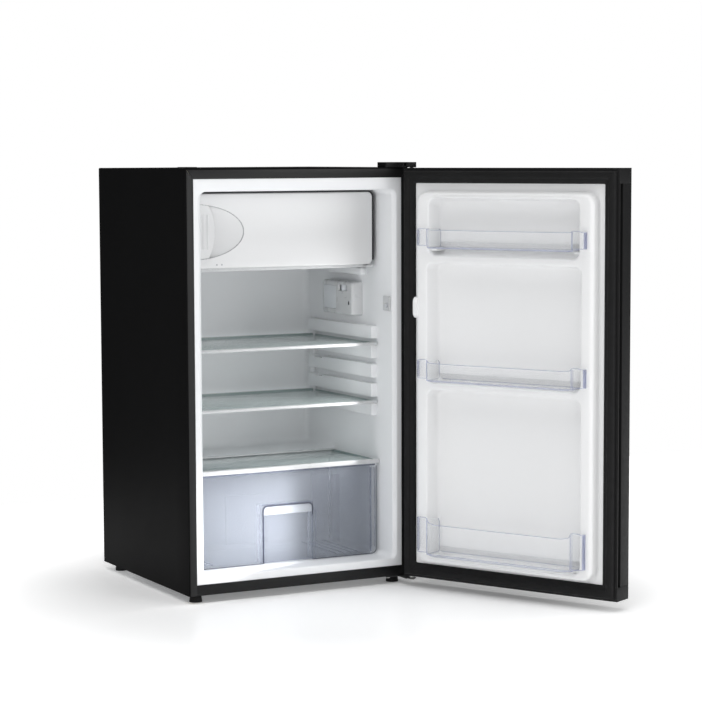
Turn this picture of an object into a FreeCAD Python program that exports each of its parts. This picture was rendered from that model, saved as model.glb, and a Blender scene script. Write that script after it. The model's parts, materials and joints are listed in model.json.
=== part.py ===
import FreeCAD, Part
import os
import math

os.makedirs("parts", exist_ok=True)
V = FreeCAD.Vector

# ---------------------------------------------------------------- driving dimensions (mm)
# Working frame: x to the right, y to the back from the cabinet's front plane, z up from the floor.
W = 472.0              # cabinet and door width
H = 800.0              # cabinet body height
D = 430.0              # cabinet body depth, door not counted
FOOT = 15.0            # foot height
T_SKIN = 1.2           # painted sheet of the wrapper
FL_SIDE = 16.0         # front flange, sides
FL_TOP = 19.5          # front flange, top
RAIL_H = 20.5          # front bottom rail
CAV_X = 203.0          # half width of the cavity
CAV_Y = 370.0          # cavity depth
CAV_Z0 = 50.0          # cavity floor
CAV_Z1 = 772.0         # cavity ceiling
T_LINER = 2.0
HUMP_Y = 252.0         # front of the compressor step
HUMP_Z = 240.0         # top of the compressor step
BAY_Y = 291.0          # front of the compressor bay
BAY_Z = 198.0          # roof of the compressor bay
RIB_X = 191.0          # inner face of the shelf rails
RAIL_Y0, RAIL_Y1 = 70.0, 345.0
SLOT_H = 12.0
SLOT_PITCH = 38.4
SLOT_Z0 = 350.8        # bottom of the lowest shelf slot
LEDGE_Z = 233.7        # top of the crisper-cover ledges

DOOR_GAP = 11.0        # space that the gasket fills
DOOR_T = 45.0          # door panel thickness
DOOR_Z0, DOOR_Z1 = 20.0, 814.0
PIN_IN = 8.0           # hinge axis in from the side
PIN_FWD = 16.0         # hinge axis in front of the door's inner plane
OPEN_DEG = 116.4       # door angle in the rest pose
PIN_R = 3.0
BUSH_CLEAR = 0.06

FLAP_Y0, FLAP_Y1 = 67.0, 81.0
FLAP_X0, FLAP_X1 = -197.0, 193.0
FLAP_Z0, FLAP_Z1 = 625.5, 767.5
FLAP_AX, FLAP_AY = 188.0, 74.0

R = W / 2
ZT = FOOT + H
Y_DOOR_IN = -DOOR_GAP
Y_DOOR_OUT = -DOOR_GAP - DOOR_T
HX, HY = R - PIN_IN, -DOOR_GAP - PIN_FWD
SHIFT = V(0, -D / 2, 0)      # the model's origin is under the middle of the cabinet


# ---------------------------------------------------------------- helpers
def box(x0, x1, y0, y1, z0, z1):
    return Part.makeBox(x1 - x0, y1 - y0, z1 - z0, V(x0, y0, z0))


def rbox(x0, x1, y0, y1, z0, z1, r, axis="z"):
    """box with the four edges along one axis rounded"""
    b = box(x0, x1, y0, y1, z0, z1)
    k = "xyz".index(axis)
    es = []
    for e in b.Edges:
        a, c = e.Vertexes[0].Point, e.Vertexes[1].Point
        d = [abs(a.x - c.x), abs(a.y - c.y), abs(a.z - c.z)]
        if d[k] > 1e-6:
            es.append(e)
    return b.makeFillet(r, es)


def cyl(r, x, y, z0, z1):
    return Part.makeCylinder(r, z1 - z0, V(x, y, z0))


def cylx(r, x0, x1, y, z):
    return Part.makeCylinder(r, x1 - x0, V(x0, y, z), V(1, 0, 0))


def cyly(r, x, y0, y1, z):
    return Part.makeCylinder(r, y1 - y0, V(x, y0, z), V(0, 1, 0))


def fuse(*s):
    out = s[0]
    for o in s[1:]:
        out = out.fuse(o)
    return out.removeSplitter()


def tube(points, r, bend):
    """round bar along straight runs joined by tangent arcs"""
    pts = [V(*p) for p in points]
    edges = []
    last = pts[0]
    for i in range(1, len(pts) - 1):
        a, b, c = pts[i - 1], pts[i], pts[i + 1]
        u = (a - b).normalize()
        w = (c - b).normalize()
        ang = math.acos(max(-1, min(1, u.dot(w))))
        t = bend / math.tan(ang / 2)
        p0 = b + u * t
        p1 = b + w * t
        bis = (u + w).normalize()
        mid = b + bis * (bend / math.sin(ang / 2) - bend)
        edges.append(Part.LineSegment(last, p0).toShape())
        edges.append(Part.Arc(p0, mid, p1).toShape())
        last = p1
    edges.append(Part.LineSegment(last, pts[-1]).toShape())
    wire = Part.Wire(edges)
    d = (pts[1] - pts[0]).normalize()
    prof = Part.Wire([Part.makeCircle(r, pts[0], d)])
    return wire.makePipeShell([prof], True, False)


def out(node, *shapes):
    """write one node, in the model's frame"""
    solids = []
    for s in shapes:
        s = s.copy()
        s.translate(SHIFT)
        solids += s.Solids
    shape = solids[0] if len(solids) == 1 else Part.makeCompound(solids)
    shape.exportStep("parts/%s.step" % node)
    print(node, len(solids), round(shape.Volume), shape.isValid())


def door_out(node, *shapes):
    """write one node of the door, turned from its closed place to the rest pose"""
    turned = []
    for s in shapes:
        s = s.copy()
        s.rotate(V(HX, HY, 0), V(0, 0, 1), OPEN_DEG)
        turned.append(s)
    out(node, *turned)


def mirror_x(s):
    return s.mirror(V(0, 0, 0), V(1, 0, 0))


# ================================================================ cabinet
# painted steel wrapper: two sides and the top in one U, with a folded front flange
shell = box(-R, R, 0, D, FOOT, ZT).cut(box(-R + T_SKIN, R - T_SKIN, T_SKIN, D + 1, FOOT - 1, ZT - T_SKIN))
shell = shell.cut(box(-R + FL_SIDE, R - FL_SIDE, -1, T_SKIN + 1, FOOT - 1, ZT - FL_TOP))
out("cabinet_shell", shell)

# rail across the front, under the liner's flange
zr = FOOT + RAIL_H
rail = fuse(box(-R + FL_SIDE, R - FL_SIDE, 0, T_SKIN, FOOT, zr), box(-R + FL_SIDE, R - FL_SIDE, 0, 20, FOOT, FOOT + T_SKIN))
out("front_bottom_rail", rail)

# ---- inner liner
fx = 228.0                                   # flange half width, tucked behind the steel flange
fz0, fz1 = 26.0, 806.0
fy0, fy1 = T_SKIN + 0.1, T_SKIN + 0.1 + T_LINER


def cavity(grow):
    """the cavity's solid; grow > 0 gives the outside of the liner's wall"""
    c = box(-CAV_X - grow, CAV_X + grow, fy0 - 0.01, CAV_Y + grow, CAV_Z0 - grow, CAV_Z1 + grow)
    es = [e for e in c.Edges if abs(e.Vertexes[0].Point.y - e.Vertexes[1].Point.y) > 1]
    c = c.makeFillet(14.0 + grow, es)
    hump = box(-CAV_X - 20, CAV_X + 20, HUMP_Y + grow, CAV_Y + 40, CAV_Z0 - 30, HUMP_Z - grow)
    es = [e for e in hump.Edges if e.Vertexes[0].Point.y < HUMP_Y + 9 and e.Vertexes[1].Point.y < HUMP_Y + 9 and e.Vertexes[0].Point.z > 200 and e.Vertexes[1].Point.z > 200]
    hump = hump.makeFillet(14.0 - grow * 0.5, es)
    return c.cut(hump)


def mouth(grow, depth):
    """chamfer between the flange and the cavity's walls"""
    def rect(y, hx, z0, z1):
        p = [V(-hx, y, z0), V(hx, y, z0), V(hx, y, z1), V(-hx, y, z1)]
        return Part.makePolygon(p + [p[0]])
    c = depth
    return Part.makeLoft([rect(fy0 - 0.01, CAV_X + c + grow, CAV_Z0 - c * 0.0 - grow, CAV_Z1 + c * 0.0 + grow), rect(fy0 + c, CAV_X + grow, CAV_Z0 - grow, CAV_Z1 + grow)], True, True)


cav_in = cavity(0.0)
cav_out = cavity(T_LINER)
flange = rbox(-fx, fx, fy0, fy1, fz0, fz1, 6, "y")
ml_in = mouth(0.0, 7.0)
ml_out = mouth(T_LINER, 7.0)
liner_block = cav_out.fuse(flange).fuse(ml_out)
liner = liner_block.cut(cav_in).cut(ml_in)
ribs = []
tops = [SLOT_Z0 + SLOT_PITCH * i for i in range(4)]
bands = [(SLOT_Z0 - 24.8, SLOT_Z0)] + [(t + SLOT_H, t + SLOT_PITCH) for t in tops[:3]] + [(tops[3] + SLOT_H, tops[3] + SLOT_H + 25.0)]
for z0, z1 in bands:
    rib = rbox(RIB_X, CAV_X + 0.5, RAIL_Y0, RAIL_Y1, z0, z1, 5, "x")
    ribs += [rib, mirror_x(rib)]
ledge = rbox(193.0, CAV_X + 0.5, 72.0, HUMP_Y + 1, LEDGE_Z - 11.7, LEDGE_Z, 4, "x")
ribs += [ledge, mirror_x(ledge)]
# short wall ledges under the freezer box
shoulder = rbox(190.0, CAV_X + 0.5, 112.0, 250.0, 602.0, 617.5, 4, "x")
ribs += [shoulder, mirror_x(shoulder)]
for rb in ribs:
    liner = liner.fuse(rb)
liner = liner.removeSplitter()
out("inner_liner", liner)

# ---- foam between wrapper and liner
foam = box(-R + T_SKIN, R - T_SKIN, T_SKIN, D - 1.6, FOOT + 1.6, ZT - T_SKIN)
foam = foam.cut(box(-R + FL_SIDE, R - FL_SIDE, 0, fy0, 0, ZT)).cut(box(-R, R, 0, fy0, 0, ZT))
foam = foam.cut(liner_block).cut(box(-300, 300, BAY_Y - 1.2, D + 5, 0, BAY_Z + 1.2))
FEET = [(-212.0, 26.0), (212.0, 26.0)]
for x, y in FEET:
    foam = foam.cut(cyl(8.0, x, y, 0, 28.2))
foam = foam.cut(box(-R, R, 0, fy1 + 0.05, 0, fz0))
out("insulation_foam", foam)

# ---- back, base and compressor bay
out("rear_panel", box(-R + T_SKIN, R - T_SKIN, D - 1.5, D - 0.5, BAY_Z + 1.3, ZT - T_SKIN))
pan = box(-R + T_SKIN, R - T_SKIN, 20.2, BAY_Y - 1.3, FOOT + 0.2, FOOT + 1.4)
for x, y in FEET:
    pan = pan.cut(cyl(5.2, x, y, 0, 60))
out("base_pan", pan)
cover = fuse(box(-R + T_SKIN, R - T_SKIN, BAY_Y - 1.1, BAY_Y - 0.1, FOOT + 0.2, BAY_Z + 1.1), box(-R + T_SKIN, R - T_SKIN, BAY_Y - 1.1, D - 0.5, BAY_Z + 0.1, BAY_Z + 1.1))
out("compressor_bay_cover", cover)

# ---- feet
nuts = []
for x, y in FEET:
    nuts.append(cyl(7.9, x, y, FOOT + 1.5, 28).cut(cyl(4.06, x, y, 0, 60)))
out("foot_inserts", *nuts)
for name, (x, y) in zip(("front_foot_left", "front_foot_right"), FEET):
    pad = Part.makeCone(12.5, 11.0, 11.0, V(x, y, 0))
    pad = fuse(pad, cyl(4.0, x, y, 11, 27.0))
    for k in range(12):
        a = math.radians(30 * k)
        pad = pad.cut(cyl(0.9, x + 12.2 * math.cos(a), y + 12.2 * math.sin(a), 3.0, 11.5))
    out(name, pad)
rear = [Part.makeCone(12.0, 10.5, 15.0, V(x, 396.0, 0)) for x in (-212.0, 212.0)]
out("rear_feet", *rear)

# ---- hinges
plate = fuse(box(188, 234, 2, 32, ZT, ZT + 2.5), box(214, 234, HY, 4, ZT, ZT + 2.5), cyl(8.5, HX, HY, ZT, ZT + 2.5).common(cyl(9.2, HX - 2.5, HY, ZT - 1, ZT + 5)))
plate = plate.cut(cyl(PIN_R, HX, HY, ZT - 1, ZT + 5))
out("top_hinge_bracket", plate)
out("top_hinge_pin", fuse(cyl(PIN_R, HX, HY, 801.5, ZT + 2.5), cyl(4.8, HX, HY, ZT + 2.5, ZT + 4.5)))
cov_o = fuse(rbox(186, 236, 0, 36, ZT, ZT + 10, 3, "z"), box(210, 236, HY, 10, ZT, ZT + 10), cyl(11.0, HX - 2.5, HY, ZT, ZT + 10))
cov_i = fuse(box(187.6, 234.4, 1.6, 34.4, ZT - 1, ZT + 8.4), box(211.6, 234.4, HY, 6, ZT - 1, ZT + 8.4), cyl(9.4, HX - 2.5, HY, ZT - 1, ZT + 8.4))
cov = cov_o.cut(cov_i).cut(cyl(6.0, HX, HY, ZT + 7, ZT + 9))
out("top_hinge_cover", cov)
lower = fuse(box(188, 234, 2, 42, 12.6, 15.0), box(214, 234, HY, 4, 12.6, 15.0), cyl(8.0, HX - 1, HY, 12.6, 15.0))
lower = lower.cut(cyl(PIN_R, HX, HY, 0, 20)).cut(cyl(5.2, 212, 26, 0, 20))
out("lower_hinge_bracket", lower)
out("lower_hinge_pin", fuse(cyl(PIN_R, HX, HY, 11.6, 33.0), cyl(6.3, HX, HY, 15.0, 19.2), cyl(4.5, HX, HY, 10.2, 12.6)))
scr = []
for x, y in ((197, 12), (197, 25), (226, 17)):
    scr.append(cyl(3.8, x, y, ZT + 2.5, ZT + 5.0).cut(box(x - 2.6, x + 2.6, y - 0.5, y + 0.5, ZT + 4, ZT + 6)))
for x, y in ((194.5, 10), (194.5, 36), (228, 10)):
    scr.append(cyl(3.8, x, y, 10.2, 12.6).cut(box(x - 2.6, x + 2.6, y - 0.5, y + 0.5, 9, 11.2)))
plug = rbox(-235.5, -207, 8, 40, ZT, ZT + 3.0, 4, "z")
out("hinge_hole_plug", plug)

# ================================================================ cooling parts
CX, CY = 50.0, 359.0
cplate = rbox(-R + T_SKIN + 0.3, R - T_SKIN - 0.3, 297, 424, FOOT, FOOT + 2.0, 3, "z")
for sx in (-1, 1):
    for sy in (-1, 1):
        cplate = cplate.cut(cyl(5.0, CX + sx * 62, CY + sy * 38, 0, 40))
out("compressor_plate", cplate)
grom, nuts = [], []
for sx in (-1, 1):
    for sy in (-1, 1):
        x, y = CX + sx * 62, CY + sy * 38
        grom.append(fuse(cyl(9.0, x, y, FOOT + 2, FOOT + 12), cyl(4.9, x, y, FOOT - 0.5, FOOT + 2)))
        nuts.append(cyl(5.5, x, y, FOOT + 14.6, FOOT + 19).cut(cyl(2.2, x, y, FOOT + 17, FOOT + 20)))
out("compressor_grommets", *grom)
out("screws_and_nuts", *(scr + nuts))
body = cyl(54.0, CX, CY, 34.0, 168.0)
top_e = [e for e in body.Edges if abs(e.BoundBox.ZMin - 168) < 0.1 and abs(e.BoundBox.ZMax - 168) < 0.1]
body = body.makeFillet(28.0, top_e)
bot_e = [e for e in body.Edges if abs(e.BoundBox.ZMin - 34) < 0.1 and abs(e.BoundBox.ZMax - 34) < 0.1]
body = body.makeFillet(16.0, bot_e)
body = fuse(body, cyl(56.0, CX, CY, 96, 101))
footpl = rbox(CX - 74, CX + 74, CY - 50, CY + 50, FOOT + 12, FOOT + 14.6, 10, "z")
body = fuse(body, footpl, cyl(34.0, CX, CY, FOOT + 12, 40))
stub1 = cylx(4.0, CX - 66, CX - 50, CY - 8, 122.0)
stub2 = cylx(4.0, CX - 66, CX - 50, CY + 16, 76.0)
comp = fuse(body, stub1, stub2)
out("compressor", comp)
relay = rbox(CX + 48, CX + 88, CY - 24, CY + 24, 58, 128, 5, "x").cut(cyl(56.3, CX, CY, 0, 200))
out("relay_cover", relay)

# wire-on-tube condenser on the back
YC = D + 17.0
z, s = 236.0, 1
n = 12
pitch = 46.0
path = []
x0c, x1c = -196.0, 196.0
path.append((x0c, YC, z))
for i in range(n):
    path.append(((x1c if s > 0 else x0c), YC, z))
    if i < n - 1:
        z += pitch
        path.append(((x1c if s > 0 else x0c), YC, z))
        s = -s
ctube = tube(path, 2.4, 16.0)
out("condenser_tube", ctube)
zc0, zc1 = 222.0, z + 14.0
wires = []
for yy in (YC - 3.25, YC + 3.25):
    g = box(-178.8, 178.8, yy - 0.5, yy + 0.5, zc0, zc0 + 2.4).fuse(box(-178.8, 178.8, yy - 0.5, yy + 0.5, zc1 - 2.4, zc1))
    g = g.multiFuse([cyl(0.8, -178.0 + i * (356.0 / 31), yy, zc0, zc1) for i in range(32)])
    wires.append(g)
out("condenser_wires", *wires)
br = []
for x in (-186.0, 186.0):
    for zz in (236.0 + pitch, z - pitch):
        b = rbox(x - 7, x + 7, D - 0.5, YC + 5.0, zz - 6, zz + 6, 2, "y")
        b = b.cut(ctube).cut(box(x - 20, x + 20, YC, YC + 20, zz - 1.7, zz + 1.7))
        br.append(b)
out("condenser_brackets", *br)
# filter dryer and refrigerant lines
dry = fuse(cyl(9.0, -70, 396, 62, 150), Part.makeCone(9.0, 3.0, 12.0, V(-70, 396, 150)), Part.makeCone(3.0, 9.0, 12.0, V(-70, 396, 50)))
out("filter_dryer", dry)
l1 = tube([(CX - 66, CY + 16, 76), (-205.0, CY + 16, 76), (-205.0, YC, 76), (-205.0, YC, 236.0), (-196.0, YC, 236.0)], 2.4, 8.9)
l2 = tube([(CX - 66, CY - 8, 122), (-110.0, CY - 8, 122), (-110.0, CY - 8, BAY_Z)], 3.2, 16.0)
l3 = tube([(-70, 396, 162), (-70, 396, 184), (-30, 396, 184), (-30, 396, BAY_Z)], 1.6, 6.0)
l4 = tube([(x0c, YC, z), (x0c - 16, YC, z), (x0c - 16, YC, 190), (x0c - 16, 410, 190), (x0c - 16, 410, 36), (-70, 410, 36), (-70, 396, 36), (-70, 396, 50)], 2.4, 6.8)
out("refrigerant_lines", l1, l2, l3, l4)
inlet = rbox(186, 232, 404, 429, 40, 78, 3, "y")
inlet = inlet.cut(rbox(196, 222, 412, 430, 50, 70, 3, "y"))
for x, zz in ((202.5, 57), (209, 63), (215.5, 57)):
    inlet = fuse(inlet, box(x - 1.0, x + 1.0, 411, 423.5, zz - 2, zz + 2))
out("power_inlet", inlet)

# ================================================================ freezer compartment
ev = box(-190, 178, 92, 352, 634, 764).cut(box(-188.4, 176.4, 91, 350.4, 635.6, 762.4))
out("evaporator", ev)
hang = []
for x in (-160, 148):
    for y in (125, 318):
        hang.append(cyl(6.5, x, y, 764, CAV_Z1))
fr = rbox(-200, 196, 83, 92, 619, 770, 10, "y").cut(rbox(-186, 174, 80, 95, 638, 760, 6, "y"))
tab_b = rbox(181, 196, 68, 84, 619, 623.6, 3, "z")
tab_t = rbox(181, 193.5, 68, 84, 768.3, 770.8, 3, "z")
fr = fuse(fr, tab_b, tab_t).cut(cyl(2.06, FLAP_AX, FLAP_AY, 600, 780))
out("freezer_frame", fr)

flap = rbox(FLAP_X0, FLAP_X1, FLAP_Y0, FLAP_Y1, FLAP_Z0, FLAP_Z1, 6, "y")
pocket = box(FLAP_X0 + 2.2, FLAP_X1 - 2.2, FLAP_Y0 + 2.2, FLAP_Y1 + 1, FLAP_Z0 + 2.2, FLAP_Z1 - 2.2)


def ellipse_prism(cx, cz, a, b, y0, y1):
    """upright half ellipse (right half), as a prism along y"""
    el = Part.Ellipse(V(cx, y0, cz), max(a, b), min(a, b))
    pts = []
    for i in range(25):
        t = -math.pi / 2 + math.pi * i / 24
        pts.append(V(cx + a * math.cos(t), y0, cz + b * math.sin(t)))
    bs = Part.BSplineCurve()
    bs.interpolate(pts)
    w = Part.Wire([bs.toShape(), Part.LineSegment(pts[-1], pts[0]).toShape()])
    return Part.Face(w).extrude(V(0, y1 - y0, 0))


e_out = ellipse_prism(-184.0, 696.0, 98.5, 53.0, FLAP_Y0 + 1.0, FLAP_Y0 + 9.5)
e_in = ellipse_prism(-182.0, 696.0, 95.0, 51.0, FLAP_Y0 - 1.0, FLAP_Y0 + 7.5)
flap_s = flap.cut(pocket).fuse(e_out).cut(e_in).removeSplitter()
for xx in (-167.0, -158.5):
    flap_s = flap_s.fuse(rbox(xx - 1.5, xx + 1.5, FLAP_Y0 + 3.0, FLAP_Y0 + 8.0, 664, 726, 1.2, "y"))
flap_s = flap_s.removeSplitter()
out("freezer_flap", flap_s)
back = box(FLAP_X0 + 2.4, FLAP_X1 - 2.4, FLAP_Y1 - 2.5, FLAP_Y1 - 0.3, FLAP_Z0 + 2.4, FLAP_Z1 - 2.4)
out("freezer_flap_back", back)
out("freezer_flap_pins", cyl(2.0, FLAP_AX, FLAP_AY, 619.5, FLAP_Z0), cyl(2.0, FLAP_AX, FLAP_AY, FLAP_Z1, 771.0))

out("evaporator_hangers", *hang)

# ================================================================ thermostat, lamp, switch
TH_X = 179.0
hs = rbox(TH_X, CAV_X, 128, 258, 520, 588, 4, "x").cut(box(TH_X + 2, CAV_X + 1, 130, 256, 522, 586))
KX, KY = 190.0, 168.0
hs = hs.cut(box(TH_X - 1, TH_X + 3, KY - 10.5, KY + 10.5, 567.3, 582.2)).cut(box(TH_X - 1, TH_X + 3, 196, 250, 530, 578)).cut(cylx(2.6, TH_X - 1, TH_X + 3, 142, 545))
out("thermostat_housing", hs)
lens = box(TH_X - 0.8, TH_X + 2, 196, 250, 530, 578)
out("lamp_lens", lens)
out("lamp_bulb", fuse(Part.makeSphere(9.0, V(192, 222, 552)), cyly(5.5, 192, 229, 243, 552), box(183, 201, 241, 255.9, 540, 564)))
knob = cyl(12.3, KX, KY, 568.2, 581.4)
for k in range(24):
    a = math.radians(15 * k)
    knob = knob.cut(cyl(0.7, KX + 12.5 * math.cos(a), KY + 12.5 * math.sin(a), 567, 583))
knob = fuse(knob, cyl(3.0, KX, KY, 556.0, 568.3))
out("thermostat_knob", knob)
ctl = box(182.0, CAV_X, 150, 186, 526, 564).cut(cyl(3.06, KX, KY, 555.0, 570))
out("thermostat_control", ctl)

sw = rbox(199.0, CAV_X, 11, 37, 536, 565, 2.5, "x").cut(box(190, CAV_X + 1, 15.4, 27.0, 542.4, 549.8))
out("light_switch_plate", sw)
pad = fuse(rbox(193.6, 200.0, 16.0, 20.0, 543.0, 549.2, 1.5, "y"), box(198.0, 202.6, 16.0, 20.0, 543.0, 549.2))
out("light_switch_paddle", pad)

# ================================================================ shelves, crisper
GX = 199.5


def shelf(zg, tag):
    g = box(-GX, GX, 64.0, 342.0, zg, zg + 4.0)
    out("shelf_glass_" + tag, g)
    f = rbox(-GX, GX, 61.0, 69.6, zg - 2.0, zg + 6.0, 1.8, "x").cut(g)
    b = rbox(-GX, GX, 336.0, 343.6, zg - 0.0, zg + 7.0, 1.0, "x").cut(g)
    out("shelf_trim_" + tag, f, b)


shelf(tops[3] + 0.4, "upper")
shelf(tops[0] + 0.4, "lower")

cg = box(-200, 200, 59.5, 249.0, 234.0, 238.0)
out("crisper_cover_glass", cg)
ct_f = rbox(-200.5, 200.5, 57.0, 66.0, 231.6, 240.6, 1.8, "x").cut(cg)
ct_b = rbox(-200.5, 200.5, 243.0, 251.4, 234.0, 241.0, 1.2, "x").cut(cg)
out("crisper_cover_trim", ct_f, ct_b)

dr = rbox(-189, 189, 64, 244, 50.6, 226, 12, "z").cut(rbox(-186.5, 186.5, 66.5, 241.5, 53.1, 230, 10, "z"))
front = rbox(-197, 197, 62, 65.0, 51.5, 230.8, 10, "y")
AX0, AX1, AZ = -52.0, 55.0, 164.0
rec_o = box(AX0 - 2.5, AX1 + 2.5, 62, 86, 50.6, AZ + 2.5)
rec_i = box(AX0, AX1, 55, 83.5, 40, AZ)
dr = fuse(dr, front, rec_o.common(box(-300, 300, 62, 90, 50.6, 300))).cut(rec_i)
lip = rbox(AX0 - 1, AX1 + 1, 62, 64.5, 141, AZ + 1, 0.8, "x")
dr = fuse(dr, lip)
for xx in (-150, -120, 120, 150):
    dr = fuse(dr, box(xx - 1, xx + 1, 80, 235, 53.0, 55.0))
out("crisper_drawer", dr)

# ================================================================ door, built closed and then turned
yi, yo = Y_DOOR_IN, Y_DOOR_OUT
# end caps with a deeper block at the free edge
cap_t = fuse(box(-R, R, yo, yi, 804, DOOR_Z1), box(-R, -R + 14, yo, yi, 786, 805), cyl(6.9, HX, HY, 798, 805))
cap_b = fuse(box(-R, R, yo, yi, DOOR_Z0, 30), box(-R, -R + 14, yo, yi, 29, 46), cyl(6.9, HX, HY, 29, 36))
vert = lambda s: [e for e in s.Edges if abs(e.BoundBox.XLength) < 0.1 and abs(e.BoundBox.YLength) < 0.1 and (abs(e.BoundBox.XMin - R) < 0.1 or abs(e.BoundBox.XMin + R) < 0.1) and abs(e.BoundBox.YMin - yo) < 0.1]
bore_t = cyl(5.5, HX, HY, 799.5, 820)
bore_b = cyl(5.5, HX, HY, 10, 34.5)
cap_t = cap_t.makeFillet(2.5, vert(cap_t)).cut(bore_t)
cap_b = cap_b.makeFillet(2.5, vert(cap_b)).cut(bore_b)
door_out("door_top_cap", cap_t)
door_out("door_bottom_cap", cap_b)
bush_t = cyl(5.5, HX, HY, 799.5, 814.4).cut(cyl(PIN_R + BUSH_CLEAR, HX, HY, 790, 830))
bush_b = cyl(5.5, HX, HY, 19.7, 34.5).cut(cyl(PIN_R + BUSH_CLEAR, HX, HY, 10, 50))
door_out("door_hinge_bushes", bush_t, bush_b)
# free-edge profile with the finger groove along its inner side
prof = box(-R, -R + 14, yo, yi, 46, 786)
prof = prof.makeFillet(2.5, vert(prof)).cut(box(-R - 1, -R + 12, yi - 12.5, yi - 3.0, 40, 800))
door_out("door_edge_profile", prof)
# painted sheet: front, hinge side and a short return
skin = fuse(box(-R + 14, R, yo, yo + 1, 30, 804), box(R - 1, R, yo, yi, 30, 804), box(R - 14, R, yi - 1, yi, 30, 804))
door_out("door_outer_panel", skin)

# liner: flange plate, raised frame and three recesses, with the switch tab
LX, LZ0, LZ1 = 194.0, 55.0, 768.0
D_TOP, D_REC = 22.0, 15.0
yt, yr = yi + D_TOP, yi - D_REC
dyke_o = rbox(-LX, LX, yi - 1, yt, LZ0, LZ1, 22, "y")
es = [e for e in dyke_o.Edges if abs(e.BoundBox.YMin - yt) < 0.1 and abs(e.BoundBox.YMax - yt) < 0.1]
dyke_o = dyke_o.makeFillet(8.0, es)
dyke_i = rbox(-LX + 2, LX - 2, yi - 3, yt - 2, LZ0 + 2, LZ1 - 2, 20, "y")
es = [e for e in dyke_i.Edges if abs(e.BoundBox.YMin - yt + 2) < 0.1 and abs(e.BoundBox.YMax - yt + 2) < 0.1]
dyke_i = dyke_i.makeFillet(6.0, es)
RECS = [(-164.0, 164.0, 648.0, 757.0), (-168.0, 168.0, 404.0, 634.0), (-168.0, 168.0, 66.0, 391.0)]
plate_l = box(-R + 14.2, R - 14.2, yi - 2.0, yi, 30.2, 803.8)
solid_l = plate_l.fuse(dyke_o)
cups_o, cups_i = None, None
for x0, x1, z0, z1 in RECS:
    co = rbox(x0 - 2, x1 + 2, yr - 2, yt + 0.0, z0 - 2, z1 + 2, 16, "y")
    ci = rbox(x0, x1, yr, yt + 5, z0, z1, 14, "y")
    cups_o = co if cups_o is None else cups_o.fuse(co)
    cups_i = ci if cups_i is None else cups_i.fuse(ci)
dliner = solid_l.cut(dyke_i)
dliner = dliner.fuse(cups_o.common(box(-300, 300, yr - 5, yt - 0.5, 0, 900)).cut(box(-300, 300, yt - 0.5, yt + 9, 0, 900))).cut(cups_i)
tab = rbox(186.0, 198.2, yi + 6.0, yi + 26.3, 527.0, 569.0, 5, "x")
dliner = dliner.fuse(tab)
# pegs in the recesses that the racks sit on
RACKS = [("upper", 662.0, 36.0), ("middle", 408.5, 37.0), ("lower", 72.5, 70.0)]
for nm, zb, hh in RACKS:
    for sgn in (-1, 1):
        x0, x1 = (150.0, 168.6) if sgn > 0 else (-168.6, -150.0)
        dliner = dliner.fuse(box(x0, x1, yr - 0.5, 4.0, zb - 5.3, zb - 0.3))
dliner = dliner.removeSplitter()
door_out("door_liner", dliner)

dfoam = box(-R + 14.2, R - 1.1, yo + 1.1, yi - 2.0, 30.2, 803.8)
dfoam = dfoam.cut(box(R - 14.2, R + 1, yi - 3.2, yi + 1, 0, 900))
dfoam = dfoam.fuse(dyke_i.common(box(-300, 300, yi - 2.0, yt, 0, 900))).cut(cups_o)
dfoam = dfoam.cut(box(HX - 9, R, HY - 9, HY + 9, 797, 810)).cut(box(HX - 9, R, HY - 9, HY + 9, 20, 37)).cut(tab)
for nm, zb, hh in RACKS:
    for x0, x1 in ((150.0, 168.6), (-168.6, -150.0)):
        dfoam = dfoam.cut(box(x0, x1, yr - 0.5, 4.0, zb - 5.3, zb - 0.3))
dfoam = dfoam.removeSplitter()
door_out("door_foam", dfoam)

gb = rbox(-231, 231, yi, yi + 3.5, 25, 809, 3, "y").cut(rbox(-207, 207, yi - 1, yi + 12, 49, 785, 6, "y"))
gm = rbox(-231, 231, yi, yi + 10.5, 25, 809, 3, "y").cut(rbox(-217, 217, yi - 1, yi + 12, 39, 795, 4, "y"))
gasket = fuse(gb, gm)
door_out("door_gasket", gasket)

# racks: bar across the front, side walls and floor inside the recess, ears lying on the raised frame
for nm, zb, hh in RACKS:
    zt = zb + hh
    hw = 160.0 if nm == "upper" else 163.0
    bar = rbox(-186, 186, yt + 13.0, yt + 16.0, zb, zt, 1.2, "x")
    ear = box(183.0, 186.0, yt + 0.5, yt + 15.0, zb, zt)
    side = box(hw - 2.5, hw, yr + 2.0, yt + 15.0, zb, zt)
    floor = box(-hw, hw, yr + 2.0, yt + 15.0, zb, zb + 2.5)
    rack = fuse(bar, ear, mirror_x(ear), side, mirror_x(side), floor)
    door_out("door_rack_" + nm, rack)

print("nodes", len([f for f in os.listdir("parts") if f.endswith(".step")]))
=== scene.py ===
import json
import math

import bmesh
import bpy
from mathutils import Matrix, Vector


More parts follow.
